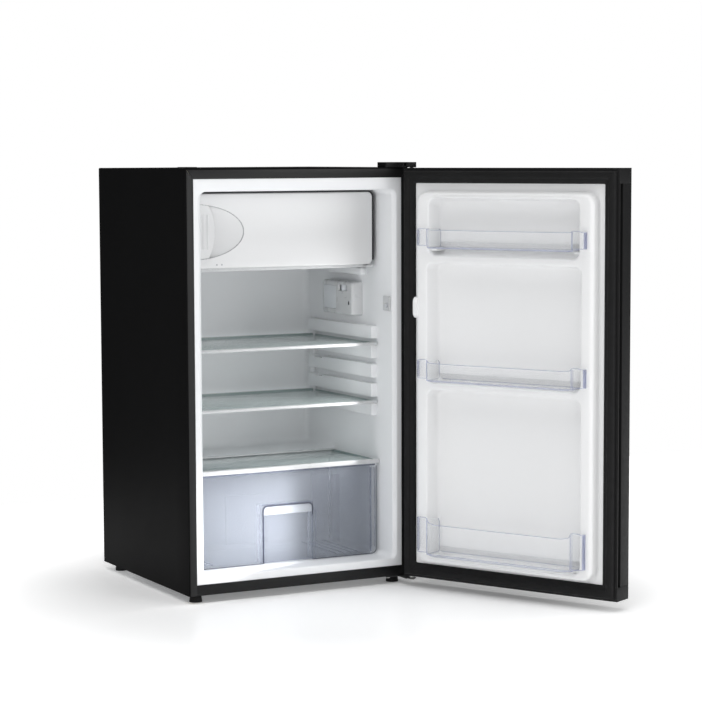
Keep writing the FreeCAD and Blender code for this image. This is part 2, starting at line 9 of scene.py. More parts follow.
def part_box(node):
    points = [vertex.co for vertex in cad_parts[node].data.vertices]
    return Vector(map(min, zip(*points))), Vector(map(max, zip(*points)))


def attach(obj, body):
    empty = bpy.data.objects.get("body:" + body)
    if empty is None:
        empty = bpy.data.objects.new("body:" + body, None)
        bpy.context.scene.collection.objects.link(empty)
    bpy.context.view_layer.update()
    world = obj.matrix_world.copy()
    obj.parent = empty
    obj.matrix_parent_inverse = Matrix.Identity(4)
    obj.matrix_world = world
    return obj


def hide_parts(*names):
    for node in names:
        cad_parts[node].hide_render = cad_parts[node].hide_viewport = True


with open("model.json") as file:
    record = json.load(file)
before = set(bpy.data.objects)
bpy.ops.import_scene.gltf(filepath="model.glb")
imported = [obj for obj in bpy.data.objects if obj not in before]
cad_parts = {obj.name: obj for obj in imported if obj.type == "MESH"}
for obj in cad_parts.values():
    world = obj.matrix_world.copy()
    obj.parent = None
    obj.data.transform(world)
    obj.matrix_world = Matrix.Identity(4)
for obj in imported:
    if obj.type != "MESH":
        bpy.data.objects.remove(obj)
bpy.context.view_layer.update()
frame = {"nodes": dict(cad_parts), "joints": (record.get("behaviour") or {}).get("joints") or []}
NODES = frame["nodes"]

# ------------------------------------------------------------------ frame numbers (mm)
lo_s, hi_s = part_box("cabinet_shell")
R = hi_s.x * 1000                       # half width of the cabinet
SHIFT = lo_s.y * 1000                   # front plane of the cabinet in the model's frame
DEPTH = (hi_s.y - lo_s.y) * 1000
ZT = hi_s.z * 1000
J_DOOR = [j for j in frame["joints"] if j["name"] == "door_hinge"][0]
OPEN = math.radians(-J_DOOR["range_deg"][0])
HX, HY = J_DOOR["pos_m"][0] * 1000, J_DOOR["pos_m"][1] * 1000 - SHIFT


def cab(p):
    return Vector((p[0], p[1] + SHIFT, p[2])) * 0.001


def door(p):
    dx, dy = p[0] - HX, p[1] - HY
    c, s = math.cos(OPEN), math.sin(OPEN)
    return Vector((HX + dx * c - dy * s, HY + dx * s + dy * c + SHIFT, p[2])) * 0.001


# ------------------------------------------------------------------ materials
def node(nt, kind, **kw):
    n = nt.nodes.new(kind)
    for k, v in kw.items():
        if k == "operation" or k == "blend_type" or k == "data_type" or k == "feature" or k == "distance" or k == "noise_dimensions" or k == "wave_type" or k == "bands_direction":
            setattr(n, k, v)
        else:
            n.inputs[k.replace("_", " ")].default_value = v
    return n


def material(name, color, rough=0.4, metal=0.0, vary=0.04, vary_scale=6.0, rough_vary=0.06, rough_scale=40.0,
             bump=0.0, bump_scale=900.0, spec=0.5, coat=0.0, alpha=1.0, alpha_edge=None, dirt=0.0,
             stretch=(1, 1, 1), sheen=0.0, scratch=0.0, ior=1.5, bump2=0.0, bump2_scale=60.0, emission=0.0):
    m = bpy.data.materials.new(name)
    m.use_nodes = True
    nt = m.node_tree
    for n in list(nt.nodes):
        nt.nodes.remove(n)
    out = nt.nodes.new("ShaderNodeOutputMaterial")
    b = nt.nodes.new("ShaderNodeBsdfPrincipled")
    nt.links.new(b.outputs[0], out.inputs[0])
    b.inputs["Metallic"].default_value = metal
    b.inputs["Specular IOR Level"].default_value = spec
    b.inputs["IOR"].default_value = ior
    if coat:
        b.inputs["Coat Weight"].default_value = coat
        b.inputs["Coat Roughness"].default_value = 0.12
    if sheen:
        b.inputs["Sheen Weight"].default_value = sheen
    tc = nt.nodes.new("ShaderNodeTexCoord")
    mp = nt.nodes.new("ShaderNodeMapping")
    mp.inputs["Scale"].default_value = stretch
    nt.links.new(tc.outputs["Object"], mp.inputs["Vector"])
    # slow colour drift
    n1 = node(nt, "ShaderNodeTexNoise", Scale=vary_scale, Detail=3.0, Roughness=0.55)
    nt.links.new(mp.outputs[0], n1.inputs["Vector"])
    r1 = nt.nodes.new("ShaderNodeValToRGB")
    r1.color_ramp.elements[0].position = 0.3
    r1.color_ramp.elements[1].position = 0.7
    c0 = [max(0.0, c * (1 - vary)) for c in color[:3]] + [1]
    c1 = [min(1.0, c * (1 + vary)) for c in color[:3]] + [1]
    r1.color_ramp.elements[0].color = c0
    r1.color_ramp.elements[1].color = c1
    nt.links.new(n1.outputs["Fac"], r1.inputs["Fac"])
    last = r1.outputs["Color"]
    if dirt:
        # fine specks
        n3 = node(nt, "ShaderNodeTexNoise", Scale=700.0, Detail=2.0)
        nt.links.new(mp.outputs[0], n3.inputs["Vector"])
        r3 = nt.nodes.new("ShaderNodeValToRGB")
        r3.color_ramp.elements[0].position = 0.42
        r3.color_ramp.elements[1].position = 0.62
        r3.color_ramp.elements[0].color = (1 - dirt, 1 - dirt, 1 - dirt, 1)
        r3.color_ramp.elements[1].color = (1, 1, 1, 1)
        nt.links.new(n3.outputs["Fac"], r3.inputs["Fac"])
        mx = nt.nodes.new("ShaderNodeMix")
        mx.data_type = "RGBA"
        mx.blend_type = "MULTIPLY"
        mx.inputs[0].default_value = 1.0
        nt.links.new(last, mx.inputs[6])
        nt.links.new(r3.outputs["Color"], mx.inputs[7])
        last = mx.outputs[2]
    nt.links.new(last, b.inputs["Base Color"])
    # roughness drift
    n2 = node(nt, "ShaderNodeTexNoise", Scale=rough_scale, Detail=4.0, Roughness=0.6)
    nt.links.new(mp.outputs[0], n2.inputs["Vector"])
    mr = nt.nodes.new("ShaderNodeMapRange")
    mr.inputs["To Min"].default_value = max(0.02, rough - rough_vary)
    mr.inputs["To Max"].default_value = min(1.0, rough + rough_vary)
    mr.inputs["From Min"].default_value = 0.3
    mr.inputs["From Max"].default_value = 0.7
    nt.links.new(n2.outputs["Fac"], mr.inputs["Value"])
    nt.links.new(mr.outputs[0], b.inputs["Roughness"])
    if bump:
        nb = node(nt, "ShaderNodeTexNoise", Scale=bump_scale, Detail=2.0, Roughness=0.5)
        nt.links.new(mp.outputs[0], nb.inputs["Vector"])
        bp = nt.nodes.new("ShaderNodeBump")
        bp.inputs["Strength"].default_value = bump
        bp.inputs["Distance"].default_value = 0.0004
        nt.links.new(nb.outputs["Fac"], bp.inputs["Height"])
        top = bp
        if bump2:
            nb2 = node(nt, "ShaderNodeTexNoise", Scale=bump2_scale, Detail=1.0, Roughness=0.4)
            nt.links.new(mp.outputs[0], nb2.inputs["Vector"])
            bp2 = nt.nodes.new("ShaderNodeBump")
            bp2.inputs["Strength"].default_value = bump2
            bp2.inputs["Distance"].default_value = 0.002
            nt.links.new(nb2.outputs["Fac"], bp2.inputs["Height"])
            nt.links.new(bp.outputs[0], bp2.inputs["Normal"])
            top = bp2
        nt.links.new(top.outputs[0], b.inputs["Normal"])
    if alpha < 1.0:
        if alpha_edge is not None:
            lw = nt.nodes.new("ShaderNodeLayerWeight")
            lw.inputs["Blend"].default_value = 0.35
            ar = nt.nodes.new("ShaderNodeMapRange")
            ar.inputs["From Min"].default_value = 0.0
            ar.inputs["From Max"].default_value = 0.8
            ar.inputs["To Min"].default_value = alpha
            ar.inputs["To Max"].default_value = alpha_edge
            nt.links.new(lw.outputs["Facing"], ar.inputs["Value"])
            nt.links.new(ar.outputs[0], b.inputs["Alpha"])
        else:
            b.inputs["Alpha"].default_value = alpha
    if emission:
        b.inputs["Emission Color"].default_value = (1, 0.97, 0.9, 1)
        b.inputs["Emission Strength"].default_value = emission
    return m


M = {
    # the wrapper's paint and the fold's paint are one black paint in two copies: the wrapper's copy is darker with
    # almost no gloss (painted shade on the sides), the fold's copy paler and glossier (painted highlight on the front
    # edges)
    "paint": material("black_satin_paint_shaded_copy", (0.0065, 0.0065, 0.0067), 0.42, spec=0.012, vary=0.05, vary_scale=3, rough_vary=0.02,
                      rough_scale=9, bump=0.10, bump_scale=750),
    "fold_paint_lit_copy": material("black_fold_paint", (0.010, 0.010, 0.0102), 0.40, spec=0.29, vary=0.05, vary_scale=3, rough_vary=0.02,
                           rough_scale=9, bump=0.08, bump_scale=750),
    "door_paint": material("black_door_paint", (0.0085, 0.0085, 0.0088), 0.42, spec=0.22, vary=0.05, vary_scale=3, rough_vary=0.02,
                           rough_scale=9, bump=0.10, bump_scale=750),
    "black_plastic": material("black_moulded_plastic", (0.0095, 0.0095, 0.0098), 0.5, spec=0.18, vary=0.15, vary_scale=12, rough_vary=0.07,
                              rough_scale=120, bump=0.22, bump_scale=1500),
    "rubber": material("black_gasket_rubber", (0.0085, 0.0085, 0.0088), 0.6, spec=0.17, vary=0.15, vary_scale=15, rough_vary=0.08,
                       rough_scale=80, bump=0.18, bump_scale=1100, dirt=0.15),
    "liner": material("white_liner_plastic", (0.845, 0.855, 0.868), 0.30, spec=0.3, vary=0.003, vary_scale=5, rough_vary=0.02,
                      rough_scale=11, bump=0.035, bump_scale=600),
    "door_liner": material("white_door_liner_plastic", (0.83, 0.832, 0.835), 0.32, spec=0.3, vary=0.003, vary_scale=5, rough_vary=0.02,
                           rough_scale=11, bump=0.035, bump_scale=600),
    "flap": material("white_freezer_door_plastic", (0.71, 0.713, 0.717), 0.22, spec=0.4, vary=0.003, vary_scale=7, rough_vary=0.02,
                     rough_scale=12, bump=0.035, bump_scale=700),
    "trim": material("white_trim_plastic", (0.588, 0.596, 0.605), 0.30, spec=0.5, vary=0.015, vary_scale=10, rough_vary=0.06,
                     rough_scale=60, bump=0.06, bump_scale=900),
    "grey_mark": material("grey_print", (0.33, 0.34, 0.36), 0.5, vary=0.05, bump=0.05),
    "knob": material("grey_dial_plastic", (0.55, 0.57, 0.60), 0.42, vary=0.03, bump=0.15, bump_scale=1300),
    "glass": material("shelf_glass_face", (0.62, 0.72, 0.71), 0.07, spec=0.6, vary=0.02, rough_vary=0.03, rough_scale=15,
                      bump=0.01, bump_scale=40, alpha=0.10, alpha_edge=0.55),
    "glass_edge": material("shelf_glass_edge", (0.16, 0.27, 0.26), 0.12, spec=0.6, vary=0.08, vary_scale=40, rough_vary=0.05,
                           bump=0.05, bump_scale=400, alpha=0.9),
    "clear": material("clear_blue_plastic_face", (0.80, 0.86, 1.0), 0.10, spec=0.6, vary=0.03, vary_scale=9, rough_vary=0.03,
                      rough_scale=20, bump=0.02, bump_scale=60, alpha=0.085, alpha_edge=0.24),
    "clear_edge": material("clear_blue_plastic_edge", (0.20, 0.23, 0.32), 0.18, spec=0.6, vary=0.10, vary_scale=30, rough_vary=0.05,
                           bump=0.03, bump_scale=300, alpha=0.55),
    "rack": material("clear_rack_plastic_face", (0.95, 0.97, 1.0), 0.10, spec=0.6, vary=0.02, vary_scale=9, rough_vary=0.03,
                     rough_scale=20, bump=0.02, bump_scale=60, alpha=0.08, alpha_edge=0.24),
    "rack_edge": material("clear_rack_plastic_edge", (0.36, 0.39, 0.54), 0.18, spec=0.6, vary=0.10, vary_scale=30, rough_vary=0.05,
                          bump=0.03, bump_scale=300, alpha=0.5),
    # grey for the grip outline on the freezer door: painted shade in the crease
    "painted_crease_shade": material("freezer_door_painted_crease_shade", (0.30, 0.305, 0.315), 0.5, vary=0.05, bump=0.05),
    "lip": material("clear_lip_plastic", (0.80, 0.84, 0.90), 0.2, spec=0.5, vary=0.02, bump=0.03, alpha=0.30),
    "outline": material("clear_plastic_deep_edge", (0.05, 0.056, 0.09), 0.2, spec=0.5, vary=0.1, vary_scale=30, bump=0.03, alpha=0.82),
    "rear_edge": material("glass_rear_edge_strip", (0.40, 0.50, 0.49), 0.2, spec=0.5, vary=0.04, vary_scale=30, bump=0.03, alpha=0.55),
    "galv": None, "alu": None,
    "compressor": material("compressor_enamel", (0.012, 0.012, 0.013), 0.33, spec=0.5, vary=0.2, vary_scale=20, rough_vary=0.1,
                           rough_scale=60, bump=0.25, bump_scale=500, bump2=0.08, bump2_scale=60),
    "condenser": material("condenser_black_enamel", (0.014, 0.014, 0.015), 0.42, spec=0.5, vary=0.2, vary_scale=30, rough_vary=0.1,
                          rough_scale=90, bump=0.2, bump_scale=900),
    "copper": material("copper_tube", (0.72, 0.36, 0.22), 0.32, metal=1.0, vary=0.25, vary_scale=35, rough_vary=0.12, rough_scale=90,
                       bump=0.12, bump_scale=400),
    "zinc": material("zinc_plated_steel", (0.62, 0.62, 0.60), 0.35, metal=1.0, vary=0.10, vary_scale=90, rough_vary=0.10, rough_scale=200,
                     bump=0.1, bump_scale=900),
    "hinge": material("black_hinge_steel", (0.02, 0.02, 0.02), 0.42, metal=0.0, vary=0.2, vary_scale=40, rough_vary=0.1, rough_scale=120,
                      bump=0.15, bump_scale=900),
    "foam": material("foam", (0.80, 0.69, 0.44), 0.9, vary=0.08, vary_scale=60, bump=0.6, bump_scale=350),
    "grommet": material("rubber_grommet", (0.02, 0.02, 0.02), 0.7, vary=0.2, vary_scale=60, bump=0.25, bump_scale=900),
    "bulb": material("bulb_frosted_glass", (0.93, 0.91, 0.86), 0.25, vary=0.02, bump=0.02, alpha=0.85),
    "lens": material("lamp_lens_plastic", (0.80, 0.83, 0.86), 0.22, vary=0.02, bump=0.05, bump_scale=500, alpha=0.6, alpha_edge=0.9),
    "socket": material("socket_grey", (0.10, 0.10, 0.105), 0.5, vary=0.1, bump=0.1),
    "white_part": material("white_part_plastic", (0.74, 0.75, 0.76), 0.42, vary=0.03, bump=0.12, bump_scale=1200),
    # dark rubber for seals, also put where gaps and holes should read dark: painted shade
    "dark_seal_and_painted_gap_shade": material("dark_seal_rubber_and_painted_gap_shade", (0.02, 0.021, 0.023), 0.6, vary=0.1, bump=0.1),
}


def galvanised(name, color, scale, metal=1.0, rough=0.38):
    m = material(name, color, rough, metal=metal, vary=0.05, vary_scale=30, bump=0.05, bump_scale=500)
    nt = m.node_tree
    b = [n for n in nt.nodes if n.type == "BSDF_PRINCIPLED"][0]
    tc = [n for n in nt.nodes if n.type == "TEX_COORD"][0]
    v = nt.nodes.new("ShaderNodeTexVoronoi")
    v.inputs["Scale"].default_value = scale
    v.inputs["Randomness"].default_value = 1.0
    nt.links.new(tc.outputs["Object"], v.inputs["Vector"])
    bw = nt.nodes.new("ShaderNodeRGBToBW")
    nt.links.new(v.outputs["Color"], bw.inputs[0])
    mr = nt.nodes.new("ShaderNodeMapRange")
    mr.inputs["To Min"].default_value = rough - 0.10
    mr.inputs["To Max"].default_value = rough + 0.12
    nt.links.new(bw.outputs[0], mr.inputs["Value"])
    nt.links.new(mr.outputs[0], b.inputs["Roughness"])
    cr = nt.nodes.new("ShaderNodeValToRGB")
    cr.color_ramp.elements[0].color = [c * 0.86 for c in color] + [1]
    cr.color_ramp.elements[1].color = [min(1, c * 1.1) for c in color] + [1]
    nt.links.new(bw.outputs[0], cr.inputs["Fac"])
    nt.links.new(cr.outputs["Color"], b.inputs["Base Color"])
    return m


M["galv"] = galvanised("galvanised_steel_spangle", (0.50, 0.51, 0.52), 140.0)
M["alu"] = galvanised("rolled_aluminium", (0.72, 0.73, 0.74), 420.0, rough=0.32)
# roll-bond channels pressed in the evaporator's sheet
nt = M["alu"].node_tree
b_ = [n for n in nt.nodes if n.type == "BSDF_PRINCIPLED"][0]
tc_ = [n for n in nt.nodes if n.type == "TEX_COORD"][0]
wv = nt.nodes.new("ShaderNodeTexWave")
wv.wave_type = "BANDS"
wv.bands_direction = "Y"
wv.inputs["Scale"].default_value = 14.0
nt.links.new(tc_.outputs["Object"], wv.inputs["Vector"])
bb = nt.nodes.new("ShaderNodeBump")
bb.inputs["Strength"].default_value = 0.5
bb.inputs["Distance"].default_value = 0.003
nt.links.new(wv.outputs["Fac"], bb.inputs["Height"])
nt.links.new(bb.outputs[0], b_.inputs["Normal"])


# ------------------------------------------------------------------ mesh toolkit
def arc(cx, cy, r, a0, a1, n):
    return [(cx + r * math.cos(math.radians(a0 + (a1 - a0) * i / n)), cy + r * math.sin(math.radians(a0 + (a1 - a0) * i / n))) for i in range(n + 1)]


def rr2(x0, x1, z0, z1, r, n=6):
    """rounded rectangle as 2-D points: bottom left, bottom right, top right, top left"""
    r = max(r, 0.02)
    p = arc(x0 + r, z0 + r, r, 180, 270, n) + arc(x1 - r, z0 + r, r, 270, 360, n)
    return p + arc(x1 - r, z1 - r, r, 0, 90, n) + arc(x0 + r, z1 - r, r, 90, 180, n)


def rr(x0, x1, z0, z1, r, y, n=6):
    return [(a, y, b) for a, b in rr2(x0, x1, z0, z1, r, n)]


class Mesh:
    def __init__(self):
        self.v, self.f, self.m = [], [], []

    def add(self, pts):
        i0 = len(self.v)
        self.v += [tuple(p) for p in pts]
        return list(range(i0, len(self.v)))

    def face(self, loop, mi=0):
        self.f.append(list(loop))
        self.m.append(mi)

    def bridge(self, a, b, mi=0, close=True):
        n = len(a)
        for i in range(n if close else n - 1):
            j = (i + 1) % n
            self.f.append([a[i], a[j], b[j], b[i]])
            self.m.append(mi)

    def loft(self, rings, mi=0, cap0=False, cap1=False, close=True):
        ids = [self.add(r) for r in rings]
        for k in range(len(ids) - 1):
            self.bridge(ids[k], ids[k + 1], mi[k] if isinstance(mi, (list, tuple)) else mi, close)
        if cap0:
            self.face(ids[0], mi[0] if isinstance(mi, (list, tuple)) else mi)
        if cap1:
            self.face(ids[-1], mi[-1] if isinstance(mi, (list, tuple)) else mi)
        return ids

    def fill(self, loops, mi=0):
        """flat region bounded by one outer loop and holes"""
        bm = bmesh.new()
        vs = {}
        for lp in loops:
            for i in lp:
                if i not in vs:
                    vs[i] = bm.verts.new(self.v[i])
                    vs[i].index = i
        back = {v: i for i, v in vs.items()}
        es = []
        for lp in loops:
            for k in range(len(lp)):
                es.append(bm.edges.new((vs[lp[k]], vs[lp[(k + 1) % len(lp)]])))
        got = bmesh.ops.triangle_fill(bm, edges=es, use_beauty=True)
        for f in got["geom"]:
            if isinstance(f, bmesh.types.BMFace):
                self.face([back[v] for v in f.verts], mi)
        bm.free()

    def box(self, x0, x1, y0, y1, z0, z1, r=0.0, seg=2, mi=0):
        """box with every edge rounded"""
        bm = bmesh.new()
        bmesh.ops.create_cube(bm, size=1.0)
        for v in bm.verts:
            v.co = Vector(((x0 + x1) / 2 + v.co.x * (x1 - x0), (y0 + y1) / 2 + v.co.y * (y1 - y0), (z0 + z1) / 2 + v.co.z * (z1 - z0)))
        if r > 0:
            bmesh.ops.bevel(bm, geom=list(bm.edges), offset=r, segments=seg, profile=0.5, affect="EDGES")
        self.take(bm, mi)

    def take(self, bm, mi=0):
        bm.verts.ensure_lookup_table()
        bm.verts.index_update()
        i0 = len(self.v)
        self.v += [tuple(v.co) for v in bm.verts]
        for f in bm.faces:
            self.f.append([i0 + v.index for v in f.verts])
            self.m.append(mi if mi is not None else f.material_index)
        bm.free()

    def prism(self, poly, axis, a, b, r=0.0, seg=2, mi=0, mi_edge=None):
        """closed 2-D polygon pushed along an axis; poly is in the other two axes, in x, y, z order"""
        def p3(p, t):
            if axis == "x":
                return (t, p[0], p[1])
            if axis == "y":
                return (p[0], t, p[1])
            return (p[0], p[1], t)
        bm = bmesh.new()
        v0 = [bm.verts.new(p3(p, a)) for p in poly]
        v1 = [bm.verts.new(p3(p, b)) for p in poly]
        f0 = bm.faces.new(v0)
        f1 = bm.faces.new(list(reversed(v1)))
        f0.material_index = f1.material_index = mi
        for i in range(len(poly)):
            j = (i + 1) % len(poly)
            f = bm.faces.new([v0[j], v0[i], v1[i], v1[j]])
            f.material_index = mi if mi_edge is None else mi_edge
        bmesh.ops.recalc_face_normals(bm, faces=list(bm.faces))
        if r > 0:
            es = [e for e in bm.edges if e.calc_face_angle(0) > math.radians(28)]
            bmesh.ops.bevel(bm, geom=es, offset=r, segments=seg, profile=0.5, affect="EDGES")
        self.take(bm, None)

    def lathe(self, prof, cx, cy, n=48, mi=0, axis="z"):
        """(radius, height) pairs turned about an upright axis"""
        rings = []
        for r, h in prof:
            ring = []
            for i in range(n):
                a = 2 * math.pi * i / n
                if axis == "z":
                    ring.append((cx + r * math.cos(a), cy + r * math.sin(a), h))
                elif axis == "x":
                    ring.append((h, cx + r * math.cos(a), cy + r * math.sin(a)))
                else:
                    ring.append((cx + r * math.cos(a), h, cy + r * math.sin(a)))
            rings.append(ring)
        self.loft(rings, mi, cap0=True, cap1=True)

    def tube(self, pts, r, n=12, mi=0):
        """round tube along points, capped"""
        P = [Vector(p) for p in pts]
        rings = []
        up = None
        for i, p in enumerate(P):
            t = (P[min(i + 1, len(P) - 1)] - P[max(i - 1, 0)]).normalized()
            if up is None:
                up = t.orthogonal().normalized()
            up = (up - t * up.dot(t)).normalized()
            w = t.cross(up)
            rings.append([tuple(p + up * (r * math.cos(2 * math.pi * k / n)) + w * (r * math.sin(2 * math.pi * k / n))) for k in range(n)])
        self.loft(rings, mi, cap0=True, cap1=True)


def smooth(obj, angle=35):
    obj.data.shade_smooth()
    obj.data.set_sharp_from_angle(angle=math.radians(angle))


def make(name, me, mats, body, replaces=(), place=cab, angle=35, solid=0.0, face=None, bevel=0.0, seg=2, weld=True, sub=0):
    """turn a Mesh into an object in its place"""
    data = bpy.data.meshes.new(name)
    data.from_pydata([place(p) for p in me.v], [], me.f)
    for mt in mats:
        data.materials.append(M[mt])
    for p, mi in zip(data.polygons, me.m):
        p.material_index = mi
    bm = bmesh.new()
    bm.from_mesh(data)
    if weld:
        bmesh.ops.remove_doubles(bm, verts=list(bm.verts), dist=2e-6)
    bmesh.ops.dissolve_degenerate(bm, dist=1e-7, edges=list(bm.edges))
    bmesh.ops.recalc_face_normals(bm, faces=list(bm.faces))
    if face is not None:
        want = (place((HX + face[0], HY + face[1], face[2])) - place((HX, HY, 0))).normalized()
        s = sum((f.normal * f.calc_area()).dot(want) for f in bm.faces)
        if s < 0:
            bmesh.ops.reverse_faces(bm, faces=list(bm.faces))
    bm.to_mesh(data)
    bm.free()
    obj = bpy.data.objects.new(name, data)
    bpy.context.scene.collection.objects.link(obj)
    mods = []
    if solid:
        md = obj.modifiers.new("wall", "SOLIDIFY")
        md.thickness = solid * 0.001
        md.offset = -1.0
        mods.append(md)
    if bevel:
        md = obj.modifiers.new("edge", "BEVEL")
        md.width = bevel * 0.001
        md.segments = seg
        md.limit_method = "ANGLE"
        md.angle_limit = math.radians(30)
        mods.append(md)
    if sub:
        md = obj.modifiers.new("sub", "SUBSURF")
        md.levels = md.render_levels = sub
        mods.append(md)
    if mods:
        apply_mods(obj)
    smooth(obj, angle)
    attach(obj, body)
    if replaces:
        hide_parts(*replaces)
    return obj


def apply_mods(obj):
    dg = bpy.context.evaluated_depsgraph_get()
    dg.update()
    me = bpy.data.meshes.new_from_object(obj.evaluated_get(dg), preserve_all_data_layers=True, depsgraph=dg)
    obj.modifiers.clear()
    old = obj.data
    obj.data = me
    bpy.data.meshes.remove(old)


def from_cad(name, mats, body, bevel=0.6, seg=2, angle=35, thin=None, width=4.0, back=None):
    """a CAD node's shape with softened edges; thin = index of the material for its narrow faces"""
    src = NODES[name]
    data = src.data.copy()
    data.name = name + "_soft"
    data.materials.clear()
    for mt in mats:
        data.materials.append(M[mt])
    bm = bmesh.new()
    bm.from_mesh(data)
    bmesh.ops.remove_doubles(bm, verts=list(bm.verts), dist=3e-6)
    bmesh.ops.dissolve_limit(bm, angle_limit=math.radians(0.6), verts=list(bm.verts), edges=list(bm.edges), use_dissolve_boundaries=False)
    bmesh.ops.recalc_face_normals(bm, faces=list(bm.faces))
    for f in bm.faces:
        f.material_index = 0
        if back is not None and f.calc_center_median().y > (back + SHIFT) * 0.001:
            f.material_index = 1
        if thin is not None:
            per = sum(e.calc_length() for e in f.edges)
            if per > 0 and 2 * f.calc_area() / per < width * 0.001:
                f.material_index = thin
    bm.to_mesh(data)
    bm.free()
    obj = bpy.data.objects.new(name + "_soft", data)
    bpy.context.scene.collection.objects.link(obj)
    if bevel:
        md = obj.modifiers.new("edge", "BEVEL")
        md.width = bevel * 0.001
        md.segments = seg
        md.limit_method = "ANGLE"
        md.angle_limit = math.radians(32)
        md.miter_outer = "MITER_ARC"
        apply_mods(obj)
    smooth(obj, angle)
    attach(obj, body)
    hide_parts(name)
    return obj


# ================================================================== cabinet
# painted wrapper: two sides and a top, bent in one sheet, with a rolled front fold
T, FLS, FLT = 1.2, 16.0, 19.5
Z0 = lo_s.z * 1000
me = Mesh()


def u_path(off, r, y, n=6):
    """the wrapper's cross section, off inwards from its outer face"""
    r = max(r, 0.02)
    left = [(-R + off, y, Z0)]
    a = [(p[0], y, p[1]) for p in arc(-R + off + r, ZT - off - r, r, 180, 90, n)]
    b = [(p[0], y, p[1]) for p in arc(R - off - r, ZT - off - r, r, 90, 0, n)]
    return left + a + b + [(R - off, y, Z0)]


rings = [u_path(T, 1.4, DEPTH - 0.05), u_path(0.5, 2.2, DEPTH), u_path(0.0, 2.6, DEPTH - 0.5)]
rings += [u_path(0.0, 2.6, 60.0), u_path(0.0, 2.6, 2.0)]
for k in range(1, 6):
    t = math.radians(90 * k / 5)
    rings.append(u_path(2.0 - 2.0 * math.cos(t), 2.6 - 0.5 * k / 5, 2.0 - 2.0 * math.sin(t)))
rings.append(u_path(2.4, 1.6, 0.0))
rings.append(u_path(2.4, 1.6, T))
rings.append(u_path(T, 1.4, 2.4))
ids = me.loft(rings, close=False)
me.bridge(ids[-1], ids[0], close=False)
for end in (0, -1):
    me.face([r[end] for r in ids])
make("cabinet_wrapper", me, ["paint"], "cabinet", ["cabinet_shell"], angle=40)
# the front fold: side strips and top strip meet in a fine mitre
me = Mesh()
g = 0.22
xi, zi = R - FLS, ZT - FLT
me.prism([(-R + 2.3, Z0), (-xi, Z0), (-xi, zi - g), (-R + 2.3, ZT - 2.3 - g - 0.3)], "y", 0.0, T, 0.28, 2)
me.prism([(R - 2.3, Z0), (xi, Z0), (xi, zi - g), (R - 2.3, ZT - 2.3 - g - 0.3)], "y", 0.0, T, 0.28, 2)
me.prism([(-xi + g * 0.3, zi), (xi - g * 0.3, zi), (R - 2.6, ZT - 2.3), (-R + 2.6, ZT - 2.3)], "y", 0.0, T, 0.28, 2)
# the fold takes the paler, glossier copy of the paint: painted highlight on the front edges
make("cabinet_front_fold", me, ["fold_paint_lit_copy"], "cabinet", angle=30)
from_cad("front_bottom_rail", ["door_paint"], "cabinet", 0.3)

# ------------------------------------------------------------------ liner
CX_, CY_, CZ0, CZ1 = 203.0, 370.0, 50.0, 772.0
HPY, HPZ = 252.0, 240.0
RS, RF = 12.0, 14.0
YM = 8.3


def cavity_profile(d, n=6):
    f = RF
    p = [(YM, CZ0 + d)]
    p += [(q[0], q[1]) for q in arc(HPY - f, CZ0 + f, f - d, -90, 0, n)]
    p += [(q[0], q[1]) for q in arc(HPY + f, HPZ - f, f + d, 180, 90, n)]
    p += [(q[0], q[1]) for q in arc(CY_ - f, HPZ + f, f - d, -90, 0, n)]
    p += [(q[0], q[1]) for q in arc(CY_ - f, CZ1 - f, f - d, 0, 90, n)]
    p.append((YM, CZ1 - d))
    return p


me = Mesh()
K = 8
loops = []
for k in range(K + 1):
    t = math.radians(90 * k / K)
    x = -CX_ + RS - RS * math.cos(t)
    d = RS - RS * math.sin(t)
    loops.append([(x, y, z) for y, z in cavity_profile(d)])
loops += [[(-x, y, z) for x, y, z in lp] for lp in reversed(loops)]
ids = me.loft(loops, close=False)
me.face(ids[0])
me.face(ids[-1])
front = [lp[0] for lp in ids] + [lp[-1] for lp in reversed(ids)]
# mouth and flange rings, in the same order as the cavity's front edge
def mouth_ring(hx, z0, z1, r, y):
    a = arc(-hx + r, z0 + r, r, 180, 270, K) + arc(hx - r, z0 + r, r, 270, 360, K)
    a += arc(hx - r, z1 - r, r, 0, 90, K) + arc(-hx + r, z1 - r, r, 90, 180, K)
    return [(p[0], y, p[1]) for p in a]


last = front
for ringp in (mouth_ring(205.6, 49.9, 772.1, 12.2, 5.6), mouth_ring(208.2, 49.4, 772.6, 12.8, 3.0), mouth_ring(209.4, 48.7, 773.3, 13.4, 1.9),
              mouth_ring(211.2, 47.2, 774.8, 14.8, 1.35), mouth_ring(221.5, 33.0, 797.0, 4.0, 1.3)):
    cur = me.add(ringp)
    me.bridge(last, cur)
    last = cur
make("inner_liner_shell", me, ["liner"], "cabinet", ["inner_liner"], solid=1.8, face=(0, -1, 0), angle=38)

# shelf rails, wall ledges and pads on the liner
me = Mesh()
S0, SP, SH = 350.8, 38.4, 12.0
tops = [S0 + SP * i for i in range(4)]
bands = [(S0 - 24.8, S0)] + [(t + SH, t + SP) for t in tops[:3]] + [(tops[3] + SH, tops[3] + SH + 25.0)]
for i, (z0, z1) in enumerate(bands):
    prof = [(70, z0), (345, z0), (345, z1)]
    if i < 4:
        prof += [(318, z1), (316, z1 - 4.0), (284, z1 - 4.0), (282, z1)]
    prof += [(70, z1)]
    for sg in (-1, 1):
        a, b = (190.8, 204.0) if sg > 0 else (-204.0, -190.8)
        me.prism(prof, "x", a, b, 1.3, 3)
